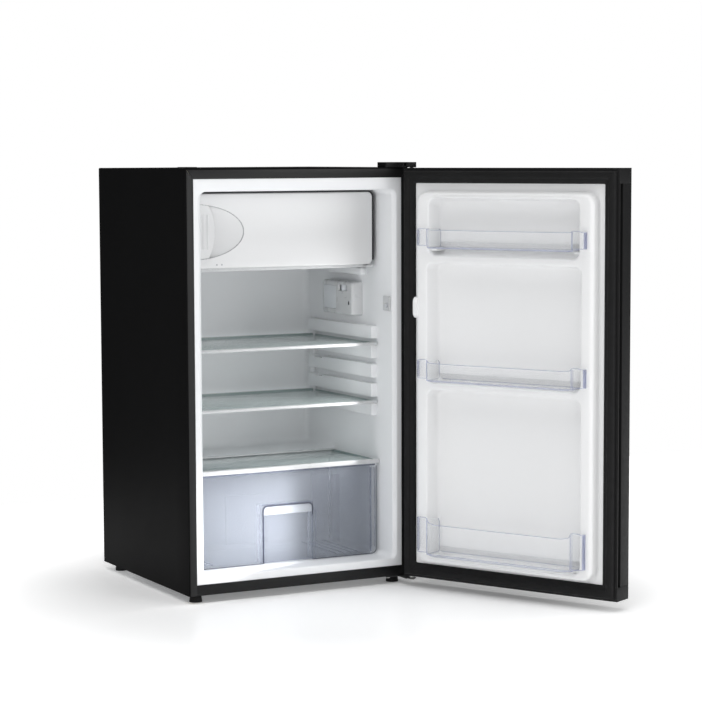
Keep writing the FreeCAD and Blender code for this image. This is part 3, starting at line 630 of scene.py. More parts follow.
# upright strip that joins the bands at the back
for sg in (-1, 1):
    a, b = (197.5, 204.0) if sg > 0 else (-204.0, -197.5)
    me.box(a, b, 330.0, 352.0, S0 - 26.0, tops[3] + SH + 27.0, 2.4, 3)
    a, b = (193.0, 204.0) if sg > 0 else (-204.0, -193.0)
    me.box(a, b, 72.0, 250.0, 222.0, 233.7, 3.0, 3)
    a, b = (190.0, 204.0) if sg > 0 else (-204.0, -190.0)
    me.box(a, b, 112.0, 250.0, 602.0, 617.5, 3.2, 3)
me.box(-45.0, 50.0, 249.6, 253.5, 59.0, 158.0, 1.6, 3)
make("liner_rails", me, ["liner"], "cabinet", angle=38, weld=False)

# ================================================================== freezer compartment
FX0, FX1, FY0, FY1, FZ0, FZ1 = -197.0, 193.0, 67.0, 81.0, 625.5, 767.5


def scoop(x, z):
    """depth of the grip's hollow below the freezer door's face"""
    cx, cz, a, b = -190.0, 695.0, 104.5, 52.5
    q = math.sqrt(((x - cx) / a) ** 2 + ((z - cz) / b) ** 2)
    if q >= 1.0:
        return 0.0
    edge = min(1.0, (1.0 - q) * a / 2.2)
    # the inner curve where the grip starts
    zi_ = (z - cz) / 47.0
    xin = -146.5 - 11.0 * zi_ * zi_
    w = (x - xin)
    span = max(1.0, (cx + a * math.sqrt(max(0.0, 1 - ((z - cz) / b) ** 2))) - xin)
    if w > 0:
        t = min(1.0, w / span)
        wall = min(1.0, w / 2.5)
        wall = wall * wall * (3 - 2 * wall)
        deep = 8.2 * (1 - t) ** 1.25 + 0.9
        return edge * (deep * wall + 1.1 * (1 - wall))
    rib = 0.0
    for xr in (-170.0, -160.5):
        if abs(z - cz) < 33:
            rib = max(rib, 1.0 - ((x - xr) / 2.4) ** 2)
    return edge * (1.1 - 0.9 * max(0.0, rib))


me = Mesh()
nx, nz = 150, 150
px0, px1, pz0, pz1 = -193.5, -82.0, 638.5, 751.5
grid = []
for j in range(nz + 1):
    z = pz0 + (pz1 - pz0) * j / nz
    grid.append(me.add([(px0 + (px1 - px0) * i / nx, FY0 + scoop(px0 + (px1 - px0) * i / nx, z), z) for i in range(nx + 1)]))
for j in range(nz):
    for i in range(nx):
        xc, zc = px0 + (px1 - px0) * (i + 0.5) / nx, pz0 + (pz1 - pz0) * (j + 0.5) / nz
        q = math.sqrt(((xc + 190.0) / 104.5) ** 2 + ((zc - 695.0) / 52.5) ** 2)
        # faces in a thin ring along the grip's outline take the grey material: painted shade in the crease round the
        # hollow
        me.face([grid[j][i], grid[j][i + 1], grid[j + 1][i + 1], grid[j + 1][i]], 1 if 0.984 < q < 1.001 else 0)
border = grid[0][:] + [grid[j][-1] for j in range(1, nz + 1)] + grid[-1][-2::-1] + [grid[j][0] for j in range(nz - 1, 0, -1)]
rings = []
for y, o, r in ((FY1, 1.0, 9.0), (FY1 - 0.6, 0.2, 10.0), (FY0 + 3.4, 0.0, 10.4), (FY0 + 2.0, 0.3, 10.3), (FY0 + 0.9, 1.0, 9.8), (FY0 + 0.25, 2.0, 9.0), (FY0, 3.2, 8.0)):
    rings.append(rr(FX0 + o, FX1 - o, FZ0 + o, FZ1 - o, r, y, 8))
ids = me.loft(rings, cap0=True)
me.fill([ids[-1], border])
flap = make("freezer_door_panel", me, ["flap", "painted_crease_shade"], "freezer_door", ["freezer_flap", "freezer_flap_back"], angle=40)
# dark seal strip along the freezer door's top and hinge edges, made black so that it also gives the shadow in the gap
# round the door: partly a seal, partly painted shade
me = Mesh()
path = [(-188.0, FZ1)] + [(q[0], q[1]) for q in arc(FX1 - 10.4, FZ1 - 10.4, 10.4, 90, 0, 10)] + [(FX1, 634.0)]
offs = []
for k, (x, z) in enumerate(path):
    a, b = path[max(k - 1, 0)], path[min(k + 1, len(path) - 1)]
    tx, tz = b[0] - a[0], b[1] - a[1]
    ln = math.hypot(tx, tz)
    offs.append((x - tz / ln * 2.9, z + tx / ln * 2.9))
me.prism(path + offs[::-1], "y", FY0 + 0.9, FY1 - 0.6, 0.4, 2)
make("freezer_door_seal_strip_and_gap_shade", me, ["dark_seal_and_painted_gap_shade"], "freezer_door", angle=40)
# small raised marks below the grip: two dots, no lettering
me = Mesh()
for x in (-143.0, -132.5):
    me.lathe([(0.3, FY0 - 0.02), (1.7, FY0 - 0.02), (2.0, FY0 + 0.2), (0.4, FY0 + 0.3)], x, 632.6, 20, axis="y")
make("freezer_door_marks", me, ["grey_mark"], "freezer_door", angle=40)
# frame round the freezer box, with a dark seal lip just behind the door; the lip is black partly as painted shade for
# the gap round the door
me = Mesh()
o_ = rr(-200.0, 196.0, 619.0, 770.0, 9.0, 0, 8)
i_ = rr(-186.0, 174.0, 638.0, 760.0, 6.0, 0, 8)


def at(ring, y, grow=0.0):
    return [(p[0] + (grow if p[0] > 0 else -grow), y, p[2] + (grow if p[2] > 690 else -grow)) for p in ring]


me.loft([at(o_, 83.6), at(o_, 91.4), at(i_, 91.4), at(i_, 83.6), at(o_, 83.6)])
me.box(181, 195.5, 68.2, 84, 619.2, 623.4, 0.7, 2)
make("freezer_surround", me, ["trim"], "cabinet", ["freezer_frame"], angle=40)
me = Mesh()
s_o = rr(-196.5, 180.0, 627.0, 769.2, 10.0, 0, 8)
s_i = rr(-189.5, 174.6, 633.0, 763.0, 6.0, 0, 8)
me.loft([at(s_o, 81.35), at(s_o, 83.5), at(s_i, 83.5), at(s_i, 81.35), at(s_o, 81.35)])
make("freezer_seal_and_gap_shade", me, ["dark_seal_and_painted_gap_shade"], "cabinet", angle=40)

# ================================================================== door
LX, LZ0, LZ1 = 194.0, 55.0, 768.0
YI, YO = -11.0, -56.0
YTOP, YREC = YI + 22.0, YI - 15.0
RECS = [(-164.0, 164.0, 648.0, 757.0, 15.0), (-168.0, 168.0, 404.0, 634.0, 15.0), (-168.0, 168.0, 66.0, 391.0, 15.0)]
me = Mesh()
NC = 10
# flange plate out to the gasket, then up over the raised frame
out_rings = [rr(-221.6, 221.6, 30.4, 803.6, 3.0, YI, NC), rr(-200.5, 200.5, 48.5, 774.5, 26.0, YI, NC),
             rr(-198.2, 198.2, 50.8, 772.2, 25.0, YI + 0.5, NC), rr(-196.6, 196.6, 52.4, 770.6, 24.0, YI + 1.8, NC),
             rr(-195.6, 195.6, 53.4, 769.6, 23.4, YI + 4.2, NC), rr(-194.4, 194.4, 54.6, 768.4, 22.6, YI + 12.0, NC)]
for k in range(1, 7):
    t = math.radians(90 * k / 6)
    o = 8.5 * (1 - math.cos(t))
    out_rings.append(rr(-194 + o, 194 - o, 55 + o, 768 - o, max(22 - o, 6), YTOP - 8.5 + 8.5 * math.sin(t), NC))
ids = me.loft(out_rings)
holes = []
for x0, x1, z0, z1, r in RECS:
    rg = []
    for k in range(0, 6):
        t = math.radians(90 * k / 5)
        o = 4.0 * math.sin(t)
        rg.append(rr(x0 - 4.0 + o, x1 + 4.0 - o, z0 - 4.0 + o, z1 + 4.0 - o, r + 4.0 - o, YTOP - 4.0 + 4.0 * math.cos(t), NC))
    rg.append(rr(x0 + 1.2, x1 - 1.2, z0 + 1.2, z1 - 1.2, r, YREC + 12.0, NC))
    for k in range(0, 6):
        t = math.radians(90 * k / 5)
        o = 1.8 + 7.0 * (1 - math.cos(t))
        rg.append(rr(x0 + o, x1 - o, z0 + o, z1 - o, r + 1.0, YREC + 7.0 - 7.0 * math.sin(t), NC))
    q = me.loft(rg)
    holes.append(q[0])
    me.face(q[-1])
me.fill([ids[-1]] + holes)
make("door_liner_shell", me, ["door_liner"], "door", ["door_liner"], place=door, solid=1.8, face=(0, 1, 0), angle=42)
# rack pegs and the tab that works the light switch
me = Mesh()
RACKS = [("upper", 662.0, 36.0), ("middle", 408.5, 37.0), ("lower", 72.5, 70.0)]
for nm, zb, hh in RACKS:
    hw = 164.5 if nm == "upper" else 168.5
    for sg in (-1, 1):
        a, b = (150.0, hw) if sg > 0 else (-hw, -150.0)
        me.box(a, b, YREC + 1.0, 4.0, zb - 5.3, zb - 0.4, 1.4, 3)
make("door_liner_pegs", me, ["door_liner"], "door", place=door, angle=40, weld=False)
me = Mesh()
tab = [(YI + 6.0, 527.5)] + arc(YI + 14.5, 538.0, 11.3, -62, 0, 6) + arc(YI + 14.5, 558.0, 11.3, 0, 62, 6) + [(YI + 6.0, 568.5)]
me.prism(tab, "x", 188.0, 198.1, 1.2, 3)
make("door_switch_tab", me, ["door_liner"], "door", place=door, angle=40)

# gasket: soft magnetic bulb outside, folded bellows, flat lip inside
me = Mesh()
prof = [(5.0, 0.2), (5.0, 3.0), (5.5, 6.6), (6.6, 9.2), (8.4, 10.4), (11.5, 10.5), (15.6, 10.5), (17.6, 10.1), (18.7, 9.0), (19.5, 7.9),
        (20.6, 7.3), (22.2, 7.0), (24.0, 6.6), (25.8, 5.9), (27.3, 4.8), (28.4, 3.3), (29.0, 1.6), (29.0, 0.2)]
rings = []
ZB, ZU = 20.0, 814.0
for o, h in prof:
    rings.append(rr(-R + o, R - o, ZB + o, ZU - o, 1.6 if o < 20 else 2.6, YI + h, 4))
rings.append(rings[0])
me.loft(rings)
make("door_seal", me, ["rubber"], "door", ["door_gasket"], place=door, angle=50)

for nm_, bv, mt in (("door_top_cap", 0.8, "black_plastic"), ("door_bottom_cap", 0.8, "black_plastic"), ("door_edge_profile", 0.5, "black_plastic")):
    from_cad(nm_, [mt], "door", bv, 3)
# painted outer panel: front sheet with a rolled edge round to the hinge side
me = Mesh()
pts = [(-R + 13.9, YO + 1.0), (-R + 13.9, YO)]
pts += [(p[0], p[1]) for p in arc(R - 3.0, YO + 3.0, 3.0, 270, 360, 8)]
pts += [(R, YI - 0.6), (R - 0.6, YI), (R - 14.0, YI), (R - 14.0, YI - 1.0), (R - 1.0, YI - 1.0)]
pts += [(p[0], p[1]) for p in arc(R - 3.0, YO + 3.0, 2.0, 360, 270, 8)]
me.prism(pts, "z", 30.0, 804.0)
make("door_outer_sheet", me, ["door_paint"], "door", ["door_outer_panel"], place=door, angle=30)


# racks
def rack(nm, zb, hh):
    zt = zb + hh
    me = Mesh()
    big = hh > 50
    # front band: straight in the middle, stepping back to the ears at both ends
    def yfront(ax):
        if ax < 136:
            return 29.5
        if ax < 160:
            t = (ax - 136) / 24.0
            t = t * t * (3 - 2 * t)
            return 29.5 - 6.0 * t
        if ax < 176:
            return 23.5
        t = min(1.0, (ax - 176) / 10.0)
        return 23.5 - 10.0 * (1 - math.sqrt(max(0.0, 1 - t * t)))

    mid, ear = {"upper": (-0.5, 2.0), "middle": (-1.5, 4.6), "lower": (-8.5, 3.2)}[nm]

    def ztop(ax):
        if ax < 142:
            return zt + mid
        if ax < 156:
            t = (ax - 142) / 14.0
            return zt + mid + (ear * 0.45 - mid) * 0.25 * t
        if ax < 162:
            t = (ax - 156) / 6.0
            t = t * t * (3 - 2 * t)
            return zt + mid + (ear * 0.45 - mid) * 0.25 * (1 - t) + (ear - mid) * t
        if ax < 176:
            return zt + ear
        return zt + ear - 2.0 * math.sin(math.pi * 0.5 * min(1.0, (ax - 176) / 8.0))

    def zbot(ax):
        r = 9.0 if big else 5.0
        if ax < 160 - r:
            return zb
        if ax < 160:
            t = (ax - (160 - r)) / r
            return zb + r * (1 - math.sqrt(max(0.0, 1 - t * t)))
        return zb + (r if not big else 5.0)
    xs = [0.0, 60.0, 110.0, 132.0]
    xs += [136 + 2.0 * i for i in range(12)] + [159.2, 160.0, 160.8, 164.0, 170.0, 175.2, 176.0, 178.0, 180.0, 182.0, 183.5, 184.8, 185.6, 186.0]
    xs = [-x for x in reversed(xs[1:])] + xs
    th = 2.4
    rows = []
    for x in xs:
        ax = abs(x)
        yf = yfront(ax)
        zt_, zb_ = ztop(ax), zbot(ax)
        rows.append(me.add([(x, yf, zb_), (x, yf, zb_ + 1.0), (x, yf, zt_ - 1.0), (x, yf, zt_), (x, yf - th, zt_), (x, yf - th, zt_ - 1.0), (x, yf - th, zb_ + 1.0), (x, yf - th, zb_)]))
    for k in range(len(xs) - 1):
        ax = abs((xs[k] + xs[k + 1]) / 2)
        dark = (158.8 < ax < 161.0) or ax > 177.0 and ax < 179.0 or ax > 183.6
        for a in range(8):
            b = (a + 1) % 8
            edge = a in (0, 2, 3, 4, 6, 7)
            me.face([rows[k][a], rows[k][b], rows[k + 1][b], rows[k + 1][a]], 1 if (edge or dark) else 0)
    me.face(rows[0], 1)
    me.face(rows[-1], 1)
    # ears that hook back over the raised frame
    for sg in (-1, 1):
        a, b = (183.5, 186.0) if sg > 0 else (-186.0, -183.5)
        me.prism([(12.0, zb + 6.0), (17.5, zb + 6.0), (17.5, ztop(183.5)), (12.0, ztop(183.5) - 3.0)], "x", a, b, 0.5, 2, mi=1)
    # bin behind the band: side walls, floor and a low back
    hw = 160.0 if nm == "upper" else 163.0
    yb = YREC + 2.0
    for sg in (-1, 1):
        a, b = (hw - 2.4, hw) if sg > 0 else (-hw, -hw + 2.4)
        r = 9.0 if big else 5.0
        pl = [(19.5, zb + 0.5), (19.5, zt + 1.6), (yb + 4.0, zt + (0.0 if not big else -4.0)), (yb, zt - 4.0 if not big else zt - 10.0), (yb, zb + r)] + [(p[0], p[1]) for p in arc(yb + r, zb + r, r, 180, 270, 5)]
        me.prism(pl, "x", a, b, 0.0, 2, mi=0, mi_edge=1)
    me.prism([(-hw + 2.4, yb), (hw - 2.4, yb), (hw - 2.4, 20.4), (-hw + 2.4, 20.4)], "z", zb + 0.2, zb + 2.6, 0.0, 2, mi=0, mi_edge=1)
    me.prism([(-hw + 2.4, zb + 2.6), (hw - 2.4, zb + 2.6), (hw - 2.4, zb + 12.0), (-hw + 2.4, zb + 12.0)], "y", yb, yb + 2.2, 0.0, 2, mi=0, mi_edge=1)
    me.v = [(x * (0.976 if x < 0 else 1.004), y, z) for x, y, z in me.v]
    make("rack_%s_bin" % nm, me, ["rack", "rack_edge"], "rack_" + nm, ["door_rack_" + nm], place=door, angle=30, weld=False)


for nm, zb, hh in RACKS:
    rack(nm, zb, hh)

# ================================================================== crisper drawer
me = Mesh()
AX0, AX1, AZ = -52.0, 55.0, 164.0
X0, X1, DZ0, DZ1 = -197.0, 197.0, 51.5, 230.8
# front panel with an arch cut up from its lower edge
def arch_poly(grow):
    a0, a1, az = AX0 - grow, AX1 + grow, AZ + grow
    r = 9.0 + grow
    outer = arc(X1 - 10, DZ0 + 10, 10, 270, 360, 6) + arc(X1 - 10, DZ1 - 6, 6, 0, 90, 5) + arc(X0 + 6, DZ1 - 6, 6, 90, 180, 5) + arc(X0 + 10, DZ0 + 10, 10, 180, 270, 6)
    inner = [(a0, DZ0)] + arc(a0 + r, az - r, r, 180, 90, 6) + arc(a1 - r, az - r, r, 90, 0, 6) + [(a1, DZ0)]
    return outer + inner


me.prism(arch_poly(0.0), "y", 62.0, 65.0, 0.5, 2, mi=0, mi_edge=1)
# thick rounded edges of the front: arch, bottom and right side
def rope(pts, r=0.75, mi=3):
    me.tube([(a, 62.5 - 0.5 * (mi == 3), b) for a, b in pts], r, 8, mi)


rope([(AX0, DZ0 + 0.6)] + arc(AX0 + 9, AZ - 9, 9, 180, 90, 6) + arc(AX1 - 9, AZ - 9, 9, 90, 0, 6) + [(AX1, 140.0)], 1.45)
rope([(AX1, 140.0), (AX1, DZ0 + 0.6)], 0.6, 1)
rope([(AX0 - 6.5, AZ - 14.0), (AX0 - 6.5, DZ0 + 1.0)], 0.45, 1)
rope([(AX1 + 6.5, AZ - 14.0), (AX1 + 6.5, DZ0 + 1.0)], 0.45, 1)
rope([(AX1 + 1.0, DZ0 + 0.7)] + arc(X1 - 10, DZ0 + 10, 9.6, 270, 360, 6) + [(X1 - 0.4, DZ1 - 4)], 0.75)
rope([(X1 - 4.2, DZ0 + 14), (X1 - 4.2, DZ1 - 8)], 0.5, 1)
rope([(X0 + 10, DZ0 + 0.6), (AX0 - 1.0, DZ0 + 0.6)], 0.6)
rope([(AX0 - 1.0, DZ0 + 2.6), (AX1 + 1.0, DZ0 + 2.6)], 0.6, 1)
# rolled rim along the top of the front
me.box(X0 + 2, X1 - 2, 61.9, 66.6, DZ1 - 3.2, DZ1, 1.2, 3, mi=1)
# pull lip across the arch
me.box(AX0 + 0.6, AX1 - 0.6, 62.2, 64.8, 146.0, AZ - 1.6, 0.8, 2, mi=2)
# hollow behind the arch: two cheeks, roof and back
def sheet(pts_a, pts_b, mi=0):
    pass


me.box(AX0 - 2.4, AX0, 64.8, 86.0, 52.0, AZ, 0.5, 2, mi=0)
me.box(AX1, AX1 + 2.4, 64.8, 86.0, 52.0, AZ, 0.5, 2, mi=0)
me.box(AX0 - 2.4, AX1 + 2.4, 64.8, 86.0, AZ, AZ + 2.4, 0.5, 2, mi=0)
me.box(AX0, AX1, 83.6, 86.0, 52.0, AZ, 0.5, 2, mi=0)
me.box(AX0 - 3.0, AX0 - 0.2, 84.6, 86.6, 52.0, AZ, 0.5, 2, mi=1)
me.box(AX1 + 0.2, AX1 + 3.0, 84.6, 86.6, 52.0, AZ, 0.5, 2, mi=1)
me.box(AX0 - 2.4, AX1 + 2.4, 64.6, 67.0, AZ + 0.6, AZ + 2.8, 0.5, 2, mi=1)
# tub: walls and floor
outer_r, inner_r = 12.0, 9.6
def plan(hx, y0, y1, r, z):
    return [(a, b, z) for a, b in rr2(-hx, hx, y0, y1, r, 6)]


o0, o1 = (189.0, 65.0, 244.0), (186.6, 67.4, 241.6)
floor_z = 52.0
rings = [plan(187.0, 67.0, 242.0, 10.0, floor_z - 1.4), plan(188.6, 65.4, 243.6, 11.6, floor_z - 0.6), plan(189.0, 65.0, 244.0, 12.0, floor_z + 1.2), plan(189.0, 65.0, 244.0, 12.0, 226.0)]
rings += [plan(186.6, 67.4, 241.6, 9.6, 226.0), plan(186.6, 67.4, 241.6, 9.6, floor_z + 4.0), plan(185.0, 69.0, 240.0, 8.0, floor_z + 1.4)]
ids = [me.add(r) for r in rings]
for k, mi in zip(range(len(ids) - 1), (0, 0, 0, 1, 0, 0)):
    me.bridge(ids[k], ids[k + 1], mi)
# floor faces, inside and underneath
me.face(ids[-1], 0)
me.face(ids[0], 0)
# darker upright corners, as in thick clear mouldings
for sx in (-1, 1):
    for yy in (243.0, 66.2):
        cxp = sx * (189.0 - 3.0)
        me.box(cxp - 1.6, cxp + 1.6, yy - 1.6, yy + 1.2, 56.0, 224.0, 0.6, 2, mi=1)
# ribs on the floor
for xx in (-176.0, -164.0, -150.0, 118.0, 134.0, 150.0, 166.0):
    me.box(xx - 0.9, xx + 0.9, 84.0, 236.0, 53.2, 55.4, 0.5, 2, mi=1)
# quarter-round divider in the back right corner
def quarter(r, z):
    return [(186.6 - r * math.cos(math.radians(a)), 241.6 - r * math.sin(math.radians(a)), z) for a in range(0, 91, 6)]


for z0, z1 in ((56.0, 76.0), (76.0, 193.0)):
    rings = [quarter(42.0, z0), quarter(42.0, z1), quarter(40.2, z1), quarter(40.2, z0)]
    ids = [me.add(r) for r in rings]
    for k in range(3):
        me.bridge(ids[k], ids[k + 1], 1 if k == 1 else 0, close=False)
    me.bridge(ids[3], ids[0], 1, close=False)
    me.face([i[0] for i in ids], 1)
    me.face([i[-1] for i in ids], 1)
make("crisper_tub", me, ["clear", "clear_edge", "lip", "outline"], "crisper", ["crisper_drawer"], angle=30, weld=False)

# ================================================================== shelves
for nm_ in ("shelf_glass_upper", "shelf_glass_lower", "crisper_cover_glass"):
    body = {"shelf_glass_upper": "upper_shelf", "shelf_glass_lower": "lower_shelf", "crisper_cover_glass": "crisper_cover"}[nm_]
    from_cad(nm_, ["glass", "glass_edge"], body, 0.5, 2, thin=1, width=6.0)
from_cad("crisper_cover_trim", ["trim"], "crisper_cover", 0.7, 3)
for nm_, body, zg in (("shelf_trim_upper", "upper_shelf", 466.4), ("shelf_trim_lower", "lower_shelf", 351.2)):
    me = Mesh()
    # nose that grips the glass, with a small return at each end
    me.prism([(61.0, zg + 2.0), (61.25, zg + 0.4), (62.2, zg - 0.6), (64.0, zg - 1.0), (68.6, zg - 1.0), (69.4, zg - 0.4), (69.6, zg + 0.1), (69.6, zg + 3.9),
              (69.4, zg + 4.5), (68.6, zg + 5.1), (64.0, zg + 5.3), (62.2, zg + 4.8), (61.25, zg + 3.7)], "x", -199.4, 199.4, 0.35, 2)
    for sg in (-1, 1):
        a, b = (196.4, 199.4) if sg > 0 else (-199.4, -196.4)
        me.box(a, b, 61.8, 74.0, zg - 1.8, zg + 4.6, 0.7, 2)
    me.prism([(336.2, zg - 1.2), (343.0, zg - 1.2), (343.5, zg - 0.6), (343.5, zg + 4.8), (343.0, zg + 5.2), (336.2, zg + 5.2)], "x", -199.2, 199.2, 0.4, 2, mi=1)
    make(nm_ + "_nose", me, ["trim", "rear_edge"], body, [nm_], angle=35, weld=False)

# dark strip beside the cover glass, wider at the back: painted shadow in the gap between the glass and the side wall
me = Mesh()
me.prism([(190.5, 242.0), (199.4, 242.0), (199.4, 67.0), (197.6, 67.0)], "z", 238.05, 238.45, 0.12, 1)
make("crisper_cover_side_gap_painted_shadow", me, ["glass_edge"], "crisper_cover", angle=30)

# ================================================================== thermostat, lamp, switch
me = Mesh()
TX = 179.0
# housing: a shell with rounded corners, a window over the dial and a screw hole
def house(x, o, r):
    return [(x, a, b) for a, b in rr2(128.0 + o, 258.0 - o, 520.0 + o, 588.0 - o, r, 8)]


rings = [house(202.9, 0.0, 5.0), house(185.0, 0.4, 5.5), house(182.0, 0.9, 6.0), house(180.2, 1.9, 6.0), house(179.3, 3.4, 5.4), house(TX, 5.2, 4.6)]
ids = me.loft(rings)
win = [(TX, a, b) for a, b in rr2(150.0, 186.0, 567.4, 580.6, 2.4, 4)]
win_in = [(TX + 2.4, a, b) for a, b in rr2(152.0, 184.0, 568.6, 579.4, 1.6, 4)]
lz = [(TX, a, b) for a, b in rr2(196.0, 250.0, 530.0, 578.0, 3.0, 4)]
lz_in = [(TX + 1.6, a, b) for a, b in rr2(196.6, 249.4, 530.6, 577.4, 2.6, 4)]
sc_ = [(TX, 142.0 + 2.6 * math.cos(math.radians(a)), 545.0 + 4.2 * math.sin(math.radians(a))) for a in range(0, 360, 20)]
sc_in = [(TX + 5.0, 142.0 + 2.2 * math.cos(math.radians(a)), 545.0 + 3.8 * math.sin(math.radians(a))) for a in range(0, 360, 20)]
h = []
# the screw hole's wall takes the dark material: painted shade inside the hole
for a, b, mi in ((win, win_in, 0), (lz, lz_in, 0), (sc_, sc_in, 1)):
    ia, ib = me.add(a), me.add(b)
    me.bridge(ia, ib, mi)
    h.append(ia)
me.fill([ids[-1]] + h)
make("thermostat_cover", me, ["trim", "dark_seal_and_painted_gap_shade"], "cabinet", ["thermostat_housing"], solid=0.0, angle=40)
me = Mesh()
me.lathe([(0.3, TX + 1.6), (2.3, TX + 1.6), (2.3, TX + 4.2), (0.3, TX + 4.2)], 142.0, 545.0, 20, axis="x")
make("thermostat_cover_screw", me, ["dark_seal_and_painted_gap_shade"], "cabinet", angle=40)
# lens with fine upright flutes
me = Mesh()
n = 60
prof = []
for i in range(n + 1):
    y = 196.8 + 52.4 * i / n
    prof.append((TX + 0.4 - 0.35 * math.sin(math.pi * i / n * 30) ** 2 * 1.2, y))
poly = prof + [(TX + 1.7, 249.2), (TX + 1.7, 196.8)]
me.prism(poly, "z", 530.8, 577.2)
make("lamp_lens_fluted", me, ["lens"], "cabinet", ["lamp_lens"], angle=30)
# dial: grey wheel with a fine grip edge
me = Mesh()
KX, KY = 190.0, 168.0
rings = []
for rr_, z in ((10.6, 568.3), (11.8, 568.7), (12.3, 569.6), (12.3, 580.0), (11.8, 580.9), (10.6, 581.3)):
    ring = []
    for i in range(144):
        a = 2 * math.pi * i / 144
        r_ = rr_ - (0.45 if (i % 4) in (0, 1) and rr_ > 11 else 0.0)
        ring.append((KX + r_ * math.cos(a), KY + r_ * math.sin(a), z))
    rings.append(ring)
me.loft(rings, cap0=True, cap1=True)
me.lathe([(3.0, 556.2), (3.0, 568.4)], KX, KY, 24)
make("thermostat_wheel_grip", me, ["knob"], "thermostat_wheel", ["thermostat_knob"], angle=30, weld=False)
for nm_, mt, bv in (("thermostat_control", "white_part", 0.6), ("light_switch_plate", "trim", 0.6), ("evaporator_hangers", "white_part", 0.4)):
    from_cad(nm_, [mt], "cabinet", bv, 2)
from_cad("light_switch_paddle", ["knob"], "switch_lever", 0.5, 2)
# bulb: small pear shape in a grey holder
me = Mesh()
bp = [(0.2, 212.9)]
for k in range(1, 13):
    t = math.pi * k / 13
    bp.append((9.0 * math.sin(t) * (1.0 if k < 7 else 0.94), 222.0 - 9.0 * math.cos(t)))
bp += [(5.4, 231.0), (5.4, 236.0)]
me.lathe(bp, 192.0, 552.0, 32, mi=0, axis="y")
me.lathe([(5.6, 235.6), (6.2, 236.0), (6.2, 242.0), (5.6, 242.6)], 192.0, 552.0, 32, mi=1, axis="y")
me.box(183.4, 200.6, 242.0, 255.0, 540.4, 563.6, 1.4, 2, mi=1)
make("lamp_bulb_pear", me, ["bulb", "socket"], "cabinet", ["lamp_bulb"], angle=40, weld=False)

# ================================================================== hinges, feet and small parts
for nm_, mt, bv, body, sl in (
        ("top_hinge_cover", "black_plastic", 0.9, "cabinet", "black_plastic"),
        ("top_hinge_bracket", "hinge", 0.4, "cabinet", "hinge_steel"),
        ("lower_hinge_bracket", "hinge", 0.4, "cabinet", "hinge_steel"),
        ("hinge_hole_plug", "black_plastic", 0.8, "cabinet", "black_plastic"),
        ("front_foot_left", "black_plastic", 0.5, "foot_left", "black_plastic"),
        ("front_foot_right", "black_plastic", 0.5, "foot_right", "black_plastic"),
        ("rear_feet", "black_plastic", 0.6, "cabinet", "black_plastic"),
        ("relay_cover", "black_plastic", 1.0, "cabinet", "black_plastic"),
        ("power_inlet", "black_plastic", 0.6, "cabinet", "black_plastic"),
        ("compressor_plate", "galv", 0.4, "cabinet", "galvanised_steel"),
        ("compressor_bay_cover", "galv", 0.3, "cabinet", "galvanised_steel"),
        ("condenser_brackets", "black_plastic", 0.4, "cabinet", "black_plastic"),
        ("door_hinge_bushes", "black_plastic", 0.2, "door", "black_plastic"),
        ("screws_and_nuts", "zinc", 0.25, "cabinet", "zinc_steel"),
        ("top_hinge_pin", "zinc", 0.3, "cabinet", "zinc_steel"),
        ("lower_hinge_pin", "zinc", 0.3, "cabinet", "zinc_steel")):
    from_cad(nm_, [mt], body, bv, 2)

# compressor: welded shell, feet plate and stubs
me = Mesh()
lo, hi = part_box("compressor")
CCX, CCY = 50.0, 359.0
prof = [(34.0, 27.2), (34.0, 35.0)]
prof += [(38 + 16 * math.sin(math.radians(a)), 50 - 16 * math.cos(math.radians(a))) for a in range(0, 91, 15)]
prof += [(54.0, 94.6), (54.4, 95.6), (55.8, 96.2), (56.0, 98.4), (55.8, 100.8), (54.4, 101.4), (53.8, 102.4), (53.6, 140.0)]
prof += [(25.6 + 28 * math.cos(math.radians(a)), 140 + 28 * math.sin(math.radians(a))) for a in range(10, 91, 10)]
prof += [(0.2, 168.0)]
me.lathe(prof, CCX, CCY, 72)
plate = [(a, b) for a, b in rr2(CCX - 74, CCX + 74, CCY - 50, CCY + 50, 12.0, 6)]
me.prism(plate, "z", 27.0, 29.6, 0.6, 2)
for x0, yy, zz in ((CCX - 66, CCY - 8, 122.0), (CCX - 66, CCY + 16, 76.0)):
    me.lathe([(3.4, x0), (4.0, x0 + 0.6), (4.0, x0 + 18.0)], yy, zz, 24, axis="x")
make("compressor_shell", me, ["compressor"], "cabinet", ["compressor"], angle=34, weld=False)

# grommets: waisted rubber rings
me = Mesh()
for sx in (-1, 1):
    for sy in (-1, 1):
        me.lathe([(4.8, 14.6), (4.8, 17.1), (8.4, 17.1), (9.0, 17.8), (9.0, 20.0), (7.6, 21.4), (7.6, 22.6), (9.0, 24.0), (9.0, 26.2), (8.4, 26.9), (5.0, 26.9)], CCX + 62 * sx, CCY + 38 * sy, 28)
make("compressor_rubber_feet", me, ["grommet"], "cabinet", ["compressor_grommets"], angle=40, weld=False)

# back sheet with pressed stiffening panels
lo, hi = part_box("rear_panel")
x0, x1, z0, z1, y0, y1 = lo.x * 1000, hi.x * 1000, lo.z * 1000, hi.z * 1000, lo.y * 1000 - SHIFT, hi.y * 1000 - SHIFT
me = Mesh()
outr = me.add(rr(x0, x1, z0, z1, 1.0, y1 - 0.9, 4))
hs_ = []
for a, b in ((z0 + 40, z0 + 270), (z0 + 300, z1 - 40)):
    q = me.loft([rr(x0 + 40, x1 - 40, a, b, 20.0, y1 - 0.9, 6), rr(x0 + 42, x1 - 42, a + 2, b - 2, 18.5, y1 - 0.75, 6), rr(x0 + 45, x1 - 45, a + 5, b - 5, 16.0, y1 - 0.05, 6), rr(x0 + 48, x1 - 48, a + 8, b - 8, 14.0, y1, 6)])
    me.face(q[-1])
    hs_.append(q[0])
me.fill([outr] + hs_)
make("back_sheet", me, ["galv"], "cabinet", ["rear_panel"], solid=0.7, face=(0, 1, 0), angle=30)

